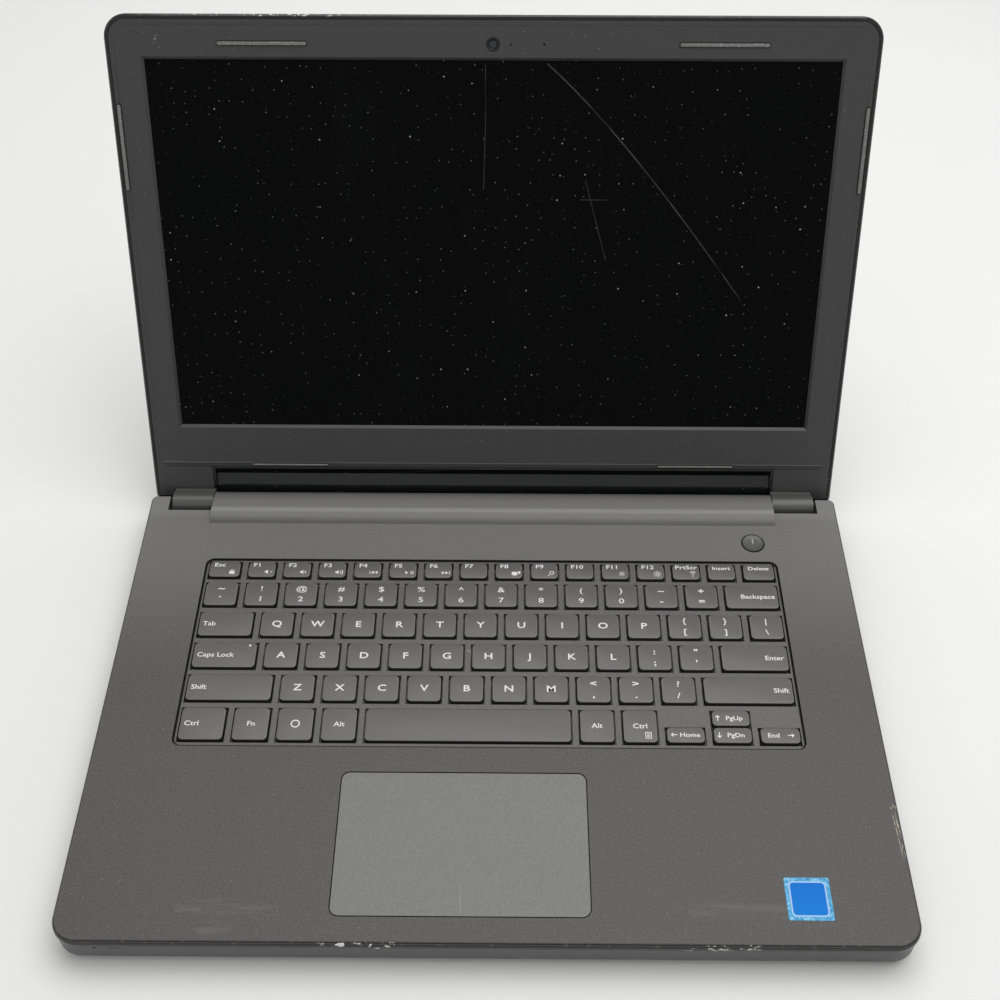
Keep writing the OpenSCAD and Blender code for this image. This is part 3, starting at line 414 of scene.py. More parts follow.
# bright marks on the front rim: chips, and painted glints of light on its gloss
LEFT_CHIP_GLINT_X = -49.0
RIGHT_CHIP_GLINT_X = 93.0
left_chip_glints = (x - LEFT_CHIP_GLINT_X).size().ramp(19.0, 9.0)
right_chip_glints = (x - RIGHT_CHIP_GLINT_X).size().ramp(17.0, 10.0) * 0.7
chip_glint_spread = (left_chip_glints + right_chip_glints).at_most(1.0)
chips_and_glints = shell.noise(shell.stretched(shell.place, (0.5, 1.0, 1.0)), 1.6, 4.0).ramp(0.55, 0.61)
shell.coat(chips_and_glints * front * chip_glint_spread * rim, paint(228, 228, 225), 0.4)
rubbed = z.band(DECK_MM - 1.3, DECK_MM - 0.1, 0.2) * shell.noise(shell.place, 3.0, 4.0).ramp(0.56, 0.66)
shell.coat(rubbed * 0.14, paint(150, 148, 140), 0.6)
grained(shell, "palm_rest")
print("palm rest done")

# %% [markdown]
# ## The bottom case and its door
# Nobody sees the underside of a laptop, so it is cheaper plastic with a deeper grain, and it picks
# up long fine scratches from being slid over tables.

# %% Bottom case finish
def chance_strokes(count, *limits):
    """So many lines whose four numbers are drawn between four pairs of limits."""
    return strokes(*[[chance.uniform(*pair) for pair in limits] for _ in range(count)])


belly = moulded("belly_black", paint(83, 83, 84), 0.46, 0.9, depth_mm=0.03, grain=0.3)
slides = chance_strokes(7, (-150, 150), (-100, 100), (-160, 160), (-110, 110))
slid = belly.lines(belly.place, slides, 0.25) * belly.noise(belly.place, 14.0).ramp(0.45, 0.6)
belly.coat(slid * 0.6, paint(120, 120, 118), 0.6)
grained(belly, "bottom_case", "service_door")
print("bottom case done, with", len(slides), "slide marks")

# %% [markdown]
# ## Keyboard frame, touchpad and bezel
# The keyboard's frame is the same black plastic with a finer grain, hair-fine scratches where nails
# catch it, and painted shade in the gap round its edge. The touchpad is moulded paler and smoother,
# so that a finger slides, and a short line divides its two buttons; its sides are painted dark as the
# shade in the gap round it. The bezel's colour is painted darker than the palm rest's, as painted
# shade, because it stands away from the light. A crease crosses it near the hinges, where its face
# bends, with painted shade below the crease and a painted highlight along it.

# %% Keyboard frame and touchpad finishes
tray = moulded("tray_black", paint(88, 87, 85), 0.46, 0.8, grain=0.6, dust=0.42)
nicks = strokes((-10.2, -98.4, -7.6, -101.2), (-66.0, -41.2, -64.4, -42.0), rear=REAR_MM)
tray.coat(tray.lines(tray.place, nicks, 0.3) * 0.8, paint(175, 172, 165), 0.6)
TRAY_CORNER_MM = 3.5
tray_low, tray_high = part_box("keyboard_frame")
tray_half = (tray_high - tray_low) / 2 / MM
x, y, _ = tray.from_middle(tray_low, tray_high)
# painted shade in the gap round the frame's edge
frame_gap_shade = tray.out_of_box(x, y, tray_half.x, tray_half.y, TRAY_CORNER_MM).ramp(-0.6, -0.4)
tray.coat(frame_gap_shade, paint(18, 18, 18), 0.8)
grained(tray, "keyboard_frame")

pad = moulded("touchpad_grey", paint(110, 110, 109), 0.42, 0.8, depth_mm=0.008, grain=0.42,
              clouds=0.05, dust=0.16)
pad_low, pad_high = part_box("touchpad")
pad_middle = (pad_low + pad_high) / 2 / MM
DIVIDER_MM = (1.0, 14.0)
pad_front = pad_low.y / MM
ends = [(pad_middle.x, pad_front + reach) for reach in DIVIDER_MM]
pad.coat(pad.line(pad.place, *ends, 0.3) * 0.5, paint(150, 150, 148), 0.5)
pad_top = pad_high.z / MM
# painted shade on the touchpad's sides, in the gap round it
pad.coat(pad.parts(pad.place)[2].ramp(pad_top - 0.03, pad_top - 0.15), paint(24, 24, 24), 0.7)
grained(pad, "touchpad")
print("keyboard frame and touchpad done")

# %% Bezel finish
# painted shade: the bezel's colour is darker than the palm rest's because it stands away from the light
bezel = moulded("bezel_black", paint(55, 55, 55), 0.46, 0.8, grain=0.36, dust=0.36, lid=True)
rub = bezel.noise(bezel.stretched(bezel.at, (0.3, 1, 1)), 1.3, 4.0).ramp(0.6, 0.68)
marks = strokes((-151.5, 219.5, -147.5, 226.5), (-100.6, 230.2, -98.2, 231.2),
                (101.0, 14.2, 112.0, 15.8), (120.0, 12.6, 127.0, 13.2))
bezel.coat(bezel.lines(bezel.at, marks, 1.0) * rub, paint(140, 140, 138), 0.6)
CREASE_MM = 19.9
CREASE_FOOT_MM = 17.8
SEAM_MM = (17.3, 17.7)
u, v, _ = bezel.parts(bezel.at)
shade = v.band(CREASE_FOOT_MM, CREASE_MM - 0.1, 0.1) * u.size().ramp(168.0, 166.0)
bezel.coat(shade * 0.5, paint(34, 34, 34), 0.5)
glint = v.band(CREASE_MM - 0.1, CREASE_MM + 0.2, 0.1) * u.size().ramp(168.0, 165.0)
bezel.coat(glint * 0.85, paint(112, 112, 110), 0.4)
bezel.coat(v.band(*SEAM_MM, 0.1) * u.size().ramp(166.0, 164.0), paint(14, 14, 14), 0.7)
grained(bezel, "screen_bezel")
print("bezel done, with its crease", CREASE_MM, "mm above the hinge axis")

# %% [markdown]
# ## The polished lid cover and the satin hinge caps
# The cover's outside is piano black. A polished black shows every hairline from a cleaning cloth,
# so fine lines in many directions lift the roughness a little. The front rim of its edges is
# chipped, most of all on the left of the top edge, and these bright marks also stand for painted
# glints of light. The caps round the hinges are satin.

# %% Lid cover and hinge cap finishes
gloss = Finish("lid_gloss", paint(17, 18, 18), 0.1, specular=0.4)
lid_at = gloss.on_lid()
u, v, w = gloss.parts(lid_at)
gloss.rough = gloss.noise(lid_at, 45.0, 4.0) * 0.1 + 0.05
hairs = chance_strokes(9, (-165, 165), (5, 230), (-165, 165), (5, 230))
hairlines = gloss.lines(lid_at, hairs, 0.16) * gloss.noise(lid_at, 20.0).ramp(0.42, 0.6)
gloss.coat(hairlines * 0.5, paint(95, 95, 96), 0.4)
wiped = gloss.noise(gloss.stretched(lid_at, (0.08, 1.4, 1)), 1.2, 3.0).ramp(0.62, 0.75)
gloss.coat(wiped * 0.12, paint(110, 110, 110), 0.35)
gloss.coat(gloss.specks(lid_at, 7.0, 0.32, 0.35) * 0.5, paint(150, 150, 148), 0.8)

# bright marks on the top edge's rim: chips, and painted glints of light on the gloss
TOP_CHIP_GLINT_U = -101.0
edge = (v.ramp(233.2, 233.9) + u.size().ramp(171.2, 171.8)).at_most(1.0)
front_rim = w.ramp(8.4, 7.6)
chip_glint_spread = (u - TOP_CHIP_GLINT_U).size().ramp(38.0, 26.0, 0.06, 1.0)
chips_and_glints = gloss.noise(gloss.stretched(lid_at, (0.5, 0.5, 1)), 1.3, 4.0).ramp(0.54, 0.6)
gloss.coat(chips_and_glints * edge * front_rim * chip_glint_spread * 0.85, paint(205, 205, 203), 0.5)
cover(gloss.done(gloss.noise(lid_at, 18.0, 2.0), 0.02), "lid_cover")

grained(moulded("cap_satin", paint(78, 78, 77), 0.3, 0.6, depth_mm=0.004, grain=0.2),
        "left_hinge_cap", "right_hinge_cap")
print("lid cover and hinge caps done, with", len(hairs), "hairlines")

# %% [markdown]
# ## The dark screen
# Switched off, a panel is black behind a smooth film. What makes it look real is what lies on the
# film: dust, a few wipes, one long curved scratch and some short ones. They are all placed in the
# lid's own millimetres, so that they stay on the glass when the lid turns.

# %% Screen finish
glass = Finish("screen_glass", paint(2, 2, 3), 0.07, specular=0.05)
lid_at = glass.on_lid()
first, bent, last = Vector((24.2, 213.7)), Vector((60.0, 183.6)), Vector((118.3, 105.5))
STEPS = 12
shares = [i / STEPS for i in range(STEPS + 1)]
curve = [(1 - t) ** 2 * first + 2 * t * (1 - t) * bent + t ** 2 * last for t in shares]
short = strokes((42.5, 162.4, 53.1, 124.8), (40.5, 153.2, 52.1, 153.2),
                (-3.4, 213.2, -3.4, 189.3), (-3.4, 189.3, -4.4, 157.7))
fade = glass.noise(lid_at, 9.0, 3.0).ramp(0.3, 0.62, 0.15, 1.0)
long_scratch = glass.lines(lid_at, list(zip(curve, curve[1:])), 0.42)
glass.coat(long_scratch * fade * 0.42, paint(110, 112, 116), 0.4)
glass.coat(glass.lines(lid_at, short, 0.3) * fade * 0.3, paint(100, 100, 104), 0.4)
wipes = glass.noise(glass.stretched(lid_at, (1.0, 0.25, 1)), 26.0, 5.0, 0.65)
glass.coat(wipes.ramp(0.5, 0.8) * 0.5, paint(13, 14, 15), 0.16)
glass.coat(glass.specks(lid_at, 5.2, 0.34, 0.5) * 0.6, paint(140, 142, 146), 0.7)
glass.coat(glass.specks(lid_at, 14.0, 0.5, 0.45) * 0.8, paint(170, 170, 172), 0.7)
glass.coat(glass.specks(lid_at, 2.1, 0.2, 0.4) * 0.4, paint(105, 106, 110), 0.7)
cover(glass.done(), "lcd_panel")
print("screen done, with", STEPS + len(short), "scratch strokes")

# %% [markdown]
# ## Small finishes
# Each of these is a short list of coats. The blue label has a frame line and a border of broken
# foil. Metal is grained along one way, as rolled sheet is. The circuit board is green with paler
# tracks, and what stands off its face is black, because chips are. The hidden mouldings share one
# plain black, and the status light is a small dark lens.

# %% Label
FOIL_MM = 1.7
FIELD_CORNER_MM = 1.9
label_low, label_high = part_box("processor_label")
label_half = (label_high.x - label_low.x) / 2 / MM
field = label_half - FOIL_MM
label = Finish("label_blue", paint(0, 124, 214), 0.3, specular=0.1)
x, y, _ = label.from_middle(label_low, label_high)
out = label.out_of_box(x, y, field, field, FIELD_CORNER_MM)
label.coat(y.ramp(-label_half, label_half) * 0.4, paint(6, 96, 200))
foil = label.noise(label.place, 1.5, 3.0, 0.6)
border = out.ramp(0.0, 0.2)
label.coat(border, paint(86, 168, 214), 0.35)
label.coat(border * foil.ramp(0.5, 0.62) * 0.9, paint(150, 208, 240), 0.25)
label.coat(border * foil.ramp(0.45, 0.36) * 0.8, paint(66, 128, 190), 0.25)
label.coat(out.band(-0.45, 0.1, 0.1), paint(178, 208, 244), 0.3)
cover(label.done(foil, 0.01), "processor_label")
print("label is", round(2 * label_half, 1), "mm square")

# %% Metals
def metal(name, colour, rough, along=(0.06, 1, 1)):
    finish = Finish(name, colour, rough, metallic=1.0)
    lay = finish.noise(finish.stretched(finish.place, along), 0.5, 3.0)
    finish.mottle(lay, 0.12)
    finish.rough = lay * 0.16 + (rough - 0.08)
    finish.coat(finish.noise(finish.place, 7.0, 4.0).ramp(0.55, 0.75) * 0.3, rough=rough + 0.25)
    return finish.done(lay, 0.004)


cover(metal("sheet_metal", paint(185, 185, 188), 0.32), "keyboard_plate", "wireless_card", "coin_cell",
      "left_hinge_bracket", "right_hinge_bracket", "usb_ports", "video_port", "card_reader")
cover(metal("dark_steel", paint(92, 92, 94), 0.36), "left_hinge_arm", "right_hinge_arm")
cover(metal("copper", paint(198, 128, 92), 0.3), "heat_sink")
cover(metal("drive_aluminium", paint(196, 197, 200), 0.4, (1, 0.08, 1)), "hard_drive")
cover(metal("screw_steel", paint(70, 70, 72), 0.4, (1, 1, 1)), "base_screws", "lid_screws")
print("metals done")

# %% Circuit boards, hidden mouldings and the status light
BOARD_MM = 1.25
board = Finish("board_green", paint(28, 92, 56), 0.4)
greys = {"Color1": (0.3, 0.3, 0.3), "Color2": (0.7, 0.7, 0.7), "Mortar": (1, 1, 1)}
pattern = {"Vector": board.place, "Scale": 0.35, "Mortar Size": 0.06, **greys}
tracks = board.node("TexBrick", {}, pattern, "Fac")
board.coat(tracks * 0.5, paint(60, 130, 84), 0.3)
board.coat(board.specks(board.place, 5.0, 0.7, 0.6), paint(190, 170, 110), 0.3)
board_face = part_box("motherboard")[1].z / MM - BOARD_MM
board.coat(board.parts(board.place)[2].ramp(board_face + 0.06, board_face), paint(32, 32, 34), 0.45)
cover(board.done(tracks, 0.03), "motherboard", "memory_module")

hidden = moulded("part_black", paint(46, 46, 47), 0.5, 0.7, dust=0.4)
grained(hidden, "fan_housing", "fan_rotor", "battery", "left_speaker", "right_speaker", "power_jack",
        "touchpad_bracket", "network_port", "headset_jack", "display_cable")
grained(moulded("dome_grey", paint(170, 171, 168), 0.6, 1.5, dust=0.2), "dome_sheet")
lens = Finish("lens_dark", paint(62, 64, 64), 0.25)
lens.mottle(lens.noise(lens.place, 0.8), 0.1)
cover(lens.done(lens.noise(lens.place, 0.5), 0.01), "status_light")
print("boards, hidden parts and status light done")

# %% [markdown]
# ## Modelling as by hand
# An operator works on whatever is selected, so each piece starts from an empty selection, and its
# faces or edges are then picked in code, by where they are or which way they look. A block is a
# cube primitive stretched between two corners. Its place is applied to its mesh, so that its
# object stays at the origin, as the CAD pieces do.

# %% Selection and block helpers
def only(*pieces):
    bpy.ops.object.select_all(action="DESELECT")
    for piece in pieces:
        piece.select_set(True)
    bpy.context.view_layer.objects.active = pieces[0]


def apply_place(piece):
    only(piece)
    bpy.ops.object.transform_apply(location=True, rotation=True, scale=True)


def block(name, low, high):
    low, high = Vector(low), Vector(high)
    bpy.ops.object.select_all(action="DESELECT")
    bpy.ops.mesh.primitive_cube_add(size=1.0, location=(low + high) / 2)
    piece = bpy.context.object
    piece.name = name
    piece.scale = high - low
    apply_place(piece)
    return piece


def drum(name, foot, radius, depth, sides):
    """A cylinder that stands on a point."""
    bpy.ops.object.select_all(action="DESELECT")
    middle = Vector(foot) + Vector((0, 0, depth / 2))
    bpy.ops.mesh.primitive_cylinder_add(vertices=sides, radius=radius, depth=depth, location=middle)
    piece = bpy.context.object
    piece.name = name
    apply_place(piece)
    return piece


def pick(piece, kind, test):
    """Leaves the piece in edit mode with the faces or edges selected that pass a test."""
    only(piece)
    bpy.ops.object.mode_set(mode="EDIT")
    bpy.ops.mesh.select_mode(type=kind)
    bpy.ops.mesh.select_all(action="DESELECT")
    bpy.ops.object.mode_set(mode="OBJECT")
    mesh = piece.data
    if kind == "FACE":
        for face in mesh.polygons:
            face.select = test(face)
    else:
        for edge in mesh.edges:
            edge.select = test(*(mesh.vertices[i].co for i in edge.vertices))
    bpy.ops.object.mode_set(mode="EDIT")


def leave(piece, angle=35):
    """Back to object mode, with edges below this angle shaded smooth."""
    bpy.ops.object.mode_set(mode="OBJECT")
    only(piece)
    bpy.ops.object.shade_smooth_by_angle(angle=math.radians(angle))


def bevel_edges(piece, width, segments, test):
    pick(piece, "EDGE", test)
    bpy.ops.mesh.bevel(offset=width, segments=segments, affect="EDGES")
    bpy.ops.object.mode_set(mode="OBJECT")


def push(piece, test, inset, move=None):
    """Insets the picked faces and extrudes them, as a press would."""
    pick(piece, "FACE", test)
    bpy.ops.mesh.inset(thickness=inset)
    if move:
        bpy.ops.mesh.extrude_region_move(TRANSFORM_OT_translate={"value": move})
    bpy.ops.object.mode_set(mode="OBJECT")


def step(inset, rise):
    """Insets the faces that are selected in edit mode and moves them, with no wall between."""
    bpy.ops.mesh.inset(thickness=inset)
    bpy.ops.transform.translate(value=(0, 0, rise))


def copied(piece, shift):
    only(piece)
    bpy.ops.object.duplicate(linked=False)
    made = bpy.context.object
    made.location = shift
    apply_place(made)
    return made


def joined(pieces, name):
    only(*pieces)
    if len(pieces) > 1:
        bpy.ops.object.join()
    made = bpy.context.object
    made.name = name
    apply_place(made)
    return made


def finish_piece(piece, material, body, slot, *replaced):
    piece.data.materials.clear()
    piece.data.materials.append(material)
    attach(piece, body)
    if replaced:
        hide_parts(*replaced)
    return piece


print("modelling helpers ready")

# %% [markdown]
# ## Key caps
# A laptop's key is a thin hollow cap of ABS that clips on a scissor. Its corners are round, its
# walls lean in a little, its top edge is softened so that a fingertip slides off it, and it is open
# below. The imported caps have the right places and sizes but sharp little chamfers. So a cap is made
# once for each size - a block, its top drawn in, its upright edges and top rim rounded, its
# underside inset and pushed up - and copied to each place. The places are read from the flat tops
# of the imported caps.

# %% Where the caps are
CHAMFER = 0.25 * MM
LEAST_GAP = 0.5 * MM
TOUCH = 0.02 * MM


def cap_spans(node):
    """The left and right edge of each cap in a row, from the triangles of the flat tops."""
    mesh = cad_nodes[node].data
    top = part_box(node)[1].z - TOUCH
    flat = []
    for face in mesh.polygons:
        xs, _, zs = zip(*(mesh.vertices[i].co for i in face.vertices))
        if min(zs) > top:
            flat.append((min(xs), max(xs)))
    found = []
    for low, high in sorted(flat):
        if found and low < found[-1][1] + LEAST_GAP:
            found[-1][1] = max(found[-1][1], high)
        else:
            found.append([low, high])
    return [(low - CHAMFER, high + CHAMFER) for low, high in found]


KEY_NODES = sorted(node for node in cad_nodes if "key" in node and not node.startswith("keyboard"))
KEY_NODES.append("space_bar")
spans = {node: cap_spans(node) for node in KEY_NODES}
print({node: len(caps) for node, caps in spans.items()}, "caps:", sum(map(len, spans.values())))

# %% The finish of the caps
caps = moulded("key_black", paint(92, 91, 89), 0.42, 0.6, depth_mm=0.006, grain=0.3, clouds=0.1)
shine = caps.noise(caps.stretched(caps.place, (1, 1, 0)), 9.0, 3.0)
caps.coat(shine.ramp(0.5, 0.7) * 0.4, rough=0.32)
key_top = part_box("home_letter_keys")[1].z / MM
RIM = 0.34 * MM
height = caps.parts(caps.place)[2]
# painted highlight along the caps' rounded top rim
painted_rim_highlight = height.band(key_top - RIM / MM, key_top - 0.02, 0.02)
caps.coat(painted_rim_highlight * 0.5, paint(140, 139, 136), 0.35)
# painted shade on the caps' walls, below the top rim
caps.coat(height.ramp(key_top - 0.32, key_top - 0.42), paint(9, 9, 9), 0.6)
key_material = grained(caps)
print("the caps' tops are", round(key_top, 2), "mm above the table")

# %% Modelling one cap, and copying it
CORNER = 1.9 * MM
TAPER = 0.42 * MM
CAP_WALL = 1.1 * MM


def cap_model(width, depth, height):
    cap = block("cap", (-width / 2, -depth / 2, 0), (width / 2, depth / 2, height))
    pick(cap, "FACE", lambda face: face.normal.z > 0.9)
    bpy.ops.transform.resize(value=(1 - 2 * TAPER / width, 1 - 2 * TAPER / depth, 1))
    bpy.ops.object.mode_set(mode="OBJECT")
    bevel_edges(cap, CORNER, 5, lambda a, b: abs(a.z - b.z) > height / 2)
    bevel_edges(cap, RIM, 3, lambda a, b: min(a.z, b.z) > height - TOUCH / 2)
    push(cap, lambda face: face.normal.z < -0.9, CAP_WALL, (0, 0, height - CAP_WALL))
    leave(cap, 50)
    return cap


def caps_for(node):
    low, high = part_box(node)
    models = {}
    row = []
    for left, right in spans[node]:
        width = round((right - left) / MM, 2)
        if width not in models:
            models[width] = cap_model(right - left, high.y - low.y, high.z - low.z)
        row.append(copied(models[width], ((left + right) / 2, (low.y + high.y) / 2, low.z)))
    for model in models.values():
        bpy.data.objects.remove(model)
    return finish_piece(joined(row, node + "_caps"), key_material, node, "key_black", node)


cap_pieces = [caps_for(node) for node in KEY_NODES]
face_counts = [len(piece.data.polygons) for piece in cap_pieces]
print("cap pieces:", len(cap_pieces), "faces:", sum(face_counts))

# %% [markdown]
# ## Printed legends
# The letters are pad-printed in an off-white ink, a few hundredths of a millimetre thick, in a wide
# sans serif. Real letters of that thickness catch the light like ink, keep sharp at any distance,
# and go down with their keys. Each legend is a text object with a tiny thickness, widened, made a
# mesh, and then joined with the rest of its row. Small signs that no font holds are drawn as flat
# outlines and treated in the same way.

# %% Text and drawn outlines
INK_MM = 0.01


def measure_font():
    """The height of a capital for a font size of 1."""
    bpy.ops.object.select_all(action="DESELECT")
    bpy.ops.object.text_add()
    sample = bpy.context.object
    sample.data.body = "H"
    bpy.ops.object.convert(target="MESH")
    share = bpy.context.object.dimensions.y
    bpy.data.objects.remove(bpy.context.object)
    return share


CAP_SHARE = measure_font()
print("a capital is", round(CAP_SHARE, 3), "of the font's size")


def printed(text, x, y, z, height_mm, align="CENTER", widen=1.25, bold_mm=0.04):
    """A word whose capitals are so high and whose baseline is at y, still a text object."""
    bpy.ops.object.select_all(action="DESELECT")
    bpy.ops.object.text_add(location=(x, y, z))
    word = bpy.context.object
    word.data.body = text
    word.data.size = height_mm * MM / CAP_SHARE
    word.data.align_x = align
    word.data.extrude = INK_MM * MM
    word.data.offset = bold_mm * MM
    word.data.resolution_u = 3
    word.scale.x = widen
    return word


def drawn(outlines, x, y, z, scale=1.0):
    """Flat shapes given as lists of points in millimetres round a middle."""
    curve = bpy.data.curves.new("sign", "CURVE")
    curve.dimensions = "2D"
    curve.fill_mode = "BOTH"
    curve.extrude = INK_MM * MM
    for outline in outlines:
        spline = curve.splines.new("POLY")
        spline.points.add(len(outline) - 1)
        for point, (px, py) in zip(spline.points, outline):
            point.co = (px * scale * MM, py * scale * MM, 0, 1)
        spline.use_cyclic_u = True
    sign = bpy.data.objects.new("sign", curve)
    bpy.context.collection.objects.link(sign)
    sign.location = (x, y, z)
    return sign


def arc(radius, width, start=0.0, end=360.0, cx=0.0, cy=0.0, count=20):
    """A curved stroke, or a ring, as one or two outlines."""
    turns = [math.radians(start + (end - start) * i / count) for i in range(count + 1)]
    radii = (radius + width / 2, radius - width / 2)
    outer, inner = ([(cx + r * math.cos(t), cy + r * math.sin(t)) for t in turns] for r in radii)
    if end - start >= 360:
        return [outer[:-1], inner[:-1]]
    return [outer + inner[::-1]]


def bar(x0, y0, x1, y1):
    return [(x0, y0), (x1, y0), (x1, y1), (x0, y1)]


def turned(outline, degrees):
    c, s = math.cos(math.radians(degrees)), math.sin(math.radians(degrees))
    return [(c * px - s * py, s * px + c * py) for px, py in outline]


def shifted(outline, across, size=1.0):
    """An outline moved sideways and scaled, and mirrored where size is below zero."""
    return [(px * size + across, py * abs(size)) for px, py in outline]


def rays(start, end, half):
    """Eight short strokes round a middle."""
    return [turned(bar(start, -half, end, half), 45 * i) for i in range(8)]


print("text and outline helpers ready")

# %% The small signs
HORN = [(-1.15, -0.32), (-0.7, -0.32), (-0.1, -0.85), (-0.1, 0.85), (-0.7, 0.32), (-1.15, 0.32)]
WAVE = arc(0.7, 0.24, -45, 45, cx=-0.1, count=8)
FAR_WAVE = arc(1.3, 0.24, -42, 42, cx=-0.1, count=8)
STROKE = turned(bar(-0.5, -0.11, 0.5, 0.11), 45)
NEXT = [(-0.6, -0.6), (0.35, 0.0), (-0.6, 0.6)]
SIGNS = {
    "lock": [bar(-0.85, -0.95, 0.85, 0.2), *arc(0.5, 0.22, 0, 180, cy=0.2, count=10)],
    "mute": [HORN, shifted(STROKE, 0.95, 0.9)],
    "quieter": [HORN, *WAVE],
    "louder": [HORN, *WAVE, *FAR_WAVE],
    "previous": [bar(-1.5, -0.6, -1.3, 0.6), shifted(NEXT, -0.7, -1), shifted(NEXT, 0.45, -1)],
    "play": [shifted(NEXT, -0.8), bar(0.35, -0.6, 0.6, 0.6), bar(0.95, -0.6, 1.2, 0.6)],
    "next": [shifted(NEXT, -0.45), shifted(NEXT, 0.7), bar(1.3, -0.6, 1.5, 0.6)],
    "screens": [bar(-1.3, -0.75, 0.5, 0.55), bar(0.75, -0.2, 1.45, 0.8), bar(-0.8, -1.1, 0.0, -0.92)],
    "search": [*arc(0.62, 0.24, cx=0.2, cy=0.25), turned(bar(-1.45, -0.13, -0.62, 0.13), 45)],
    "dimmer": [*arc(0.42, 0.2), *rays(0.72, 1.0, 0.1)],
    "brighter": [*arc(0.5, 0.24), *rays(0.85, 1.3, 0.12)],
    "radio": [bar(-0.1, -1.1, 0.1, 0.25), *arc(0.62, 0.2, 25, 155, cy=0.05, count=8),
              *arc(1.1, 0.2, 35, 145, cy=0.05, count=8)],
    "ring": arc(1.75, 0.55, count=28),
    "menu": [bar(-1.05, -1.25, 1.05, 1.25), bar(-0.8, -1.0, 0.8, 1.0), bar(-0.5, 0.35, 0.5, 0.6),
             bar(-0.5, -0.12, 0.5, 0.12), bar(-0.5, -0.6, 0.5, -0.35)],
    "dot": arc(0.28, 0.52, count=10),
}
ARROW = [(-1.5, 0), (-0.5, 1.0), (-0.2, 0.7), (-0.66, 0.2), (1.4, 0.2),
         (1.4, -0.2), (-0.66, -0.2), (-0.2, -0.7), (-0.5, -1.0)]
for name, degrees in (("left", 0), ("down", 90), ("right", 180), ("up", 270)):
    SIGNS[name] = [turned(ARROW, degrees)]
print("signs:", len(SIGNS))

# %% The legends of the rows
# A letter stands in the middle of its key and two characters stand above one another. In the top
# row a word starts near the left edge, and a sign may share the key.
TOP_ROW = ("Esc lock", "F1 mute", "F2 quieter", "F3 louder", "F4 previous", "F5 play", "F6 next", "F7",
           "F8 screens", "F9 search", "F10", "F11 dimmer", "F12 brighter", "PrtScr radio", "Insert", "Delete")
CHARACTERS = {
    "number_keys": "~` !1 @2 #3 $4 %5 ^6 &7 *8 (9 )0 \u2013- +=",
    "upper_letter_keys": "Q W E R T Y U I O P {[ }] |\\",
    "home_letter_keys": "A S D F G H J K L :; \"'",
    "lower_letter_keys": "Z X C V B N M <, >. ?/",
}
SMALL_MARKS = ":;'\"`~.,\u2013-=+<>"


def weight_of(character):
    """Dots, commas and dashes are printed heavier, so that they stay legible."""
    return 0.1 if character in SMALL_MARKS else 0.03


def top_row_legend(text, left, right, low, high):
    word, _, sign = text.partition(" ")
    if word in ("Insert", "Delete"):
        return [printed(word, (left + right) / 2, high.y - 3.6 * MM, high.z, 1.95, widen=1.3)]
    inset = 1.5 if word == "PrtScr" else 2.3
    made = [printed(word, left + inset * MM, high.y - 3.3 * MM, high.z, 2.15, "LEFT", 1.34)]
    if sign:
        made.append(drawn(SIGNS[sign], left + (right - left) * 0.74, low.y + 3.3 * MM, high.z, 1.5))
    return made


def character_legend(text, left, right, low, high):
    across, middle = (left + right) / 2, (low.y + high.y) / 2
    if len(text) == 1:
        return [printed(text, across, middle - 1.5 * MM, high.z, 3.2, bold_mm=0.075)]
    return [printed(mark, across, middle + rise * MM, high.z, 2.8, widen=1.32, bold_mm=weight_of(mark))
            for mark, rise in zip(text, (1.7, -4.4))]


def row_legends(node, texts, legend):
    low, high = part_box(node)
    return sum((legend(text, *span, low, high) for span, text in zip(spans[node], texts)), [])


rows = {"function_keys": row_legends("function_keys", TOP_ROW, top_row_legend)}
for node, texts in CHARACTERS.items():
    rows[node] = row_legends(node, texts.split(), character_legend)
print("legends on the rows:", sum(map(len, rows.values())))

# %% The legends of the other keys
SIDES = {"LEFT": (0.0, 1), "CENTER": (0.5, 0), "RIGHT": (1.0, -1)}


def place_on(node, index, share_x, share_y):
    """A point on one cap's top, so far across it from its left, and back from its front."""
    low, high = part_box(node)
    left, right = spans[node][index]
    return left + (right - left) * share_x, low.y + (high.y - low.y) * share_y, high.z


def word_on(node, index, text, side="LEFT", height_mm=2.35, inset_mm=2.0):
    share, way = SIDES[side]
    x, y, z = place_on(node, index, share, 0.5)
    return printed(text, x + way * inset_mm * MM, y - height_mm / 2 * MM, z, height_mm, side, 1.15)


def sign_on(node, index, sign, share_x, share_y, scale=1.0):
    return drawn(SIGNS[sign], *place_on(node, index, share_x, share_y), scale)


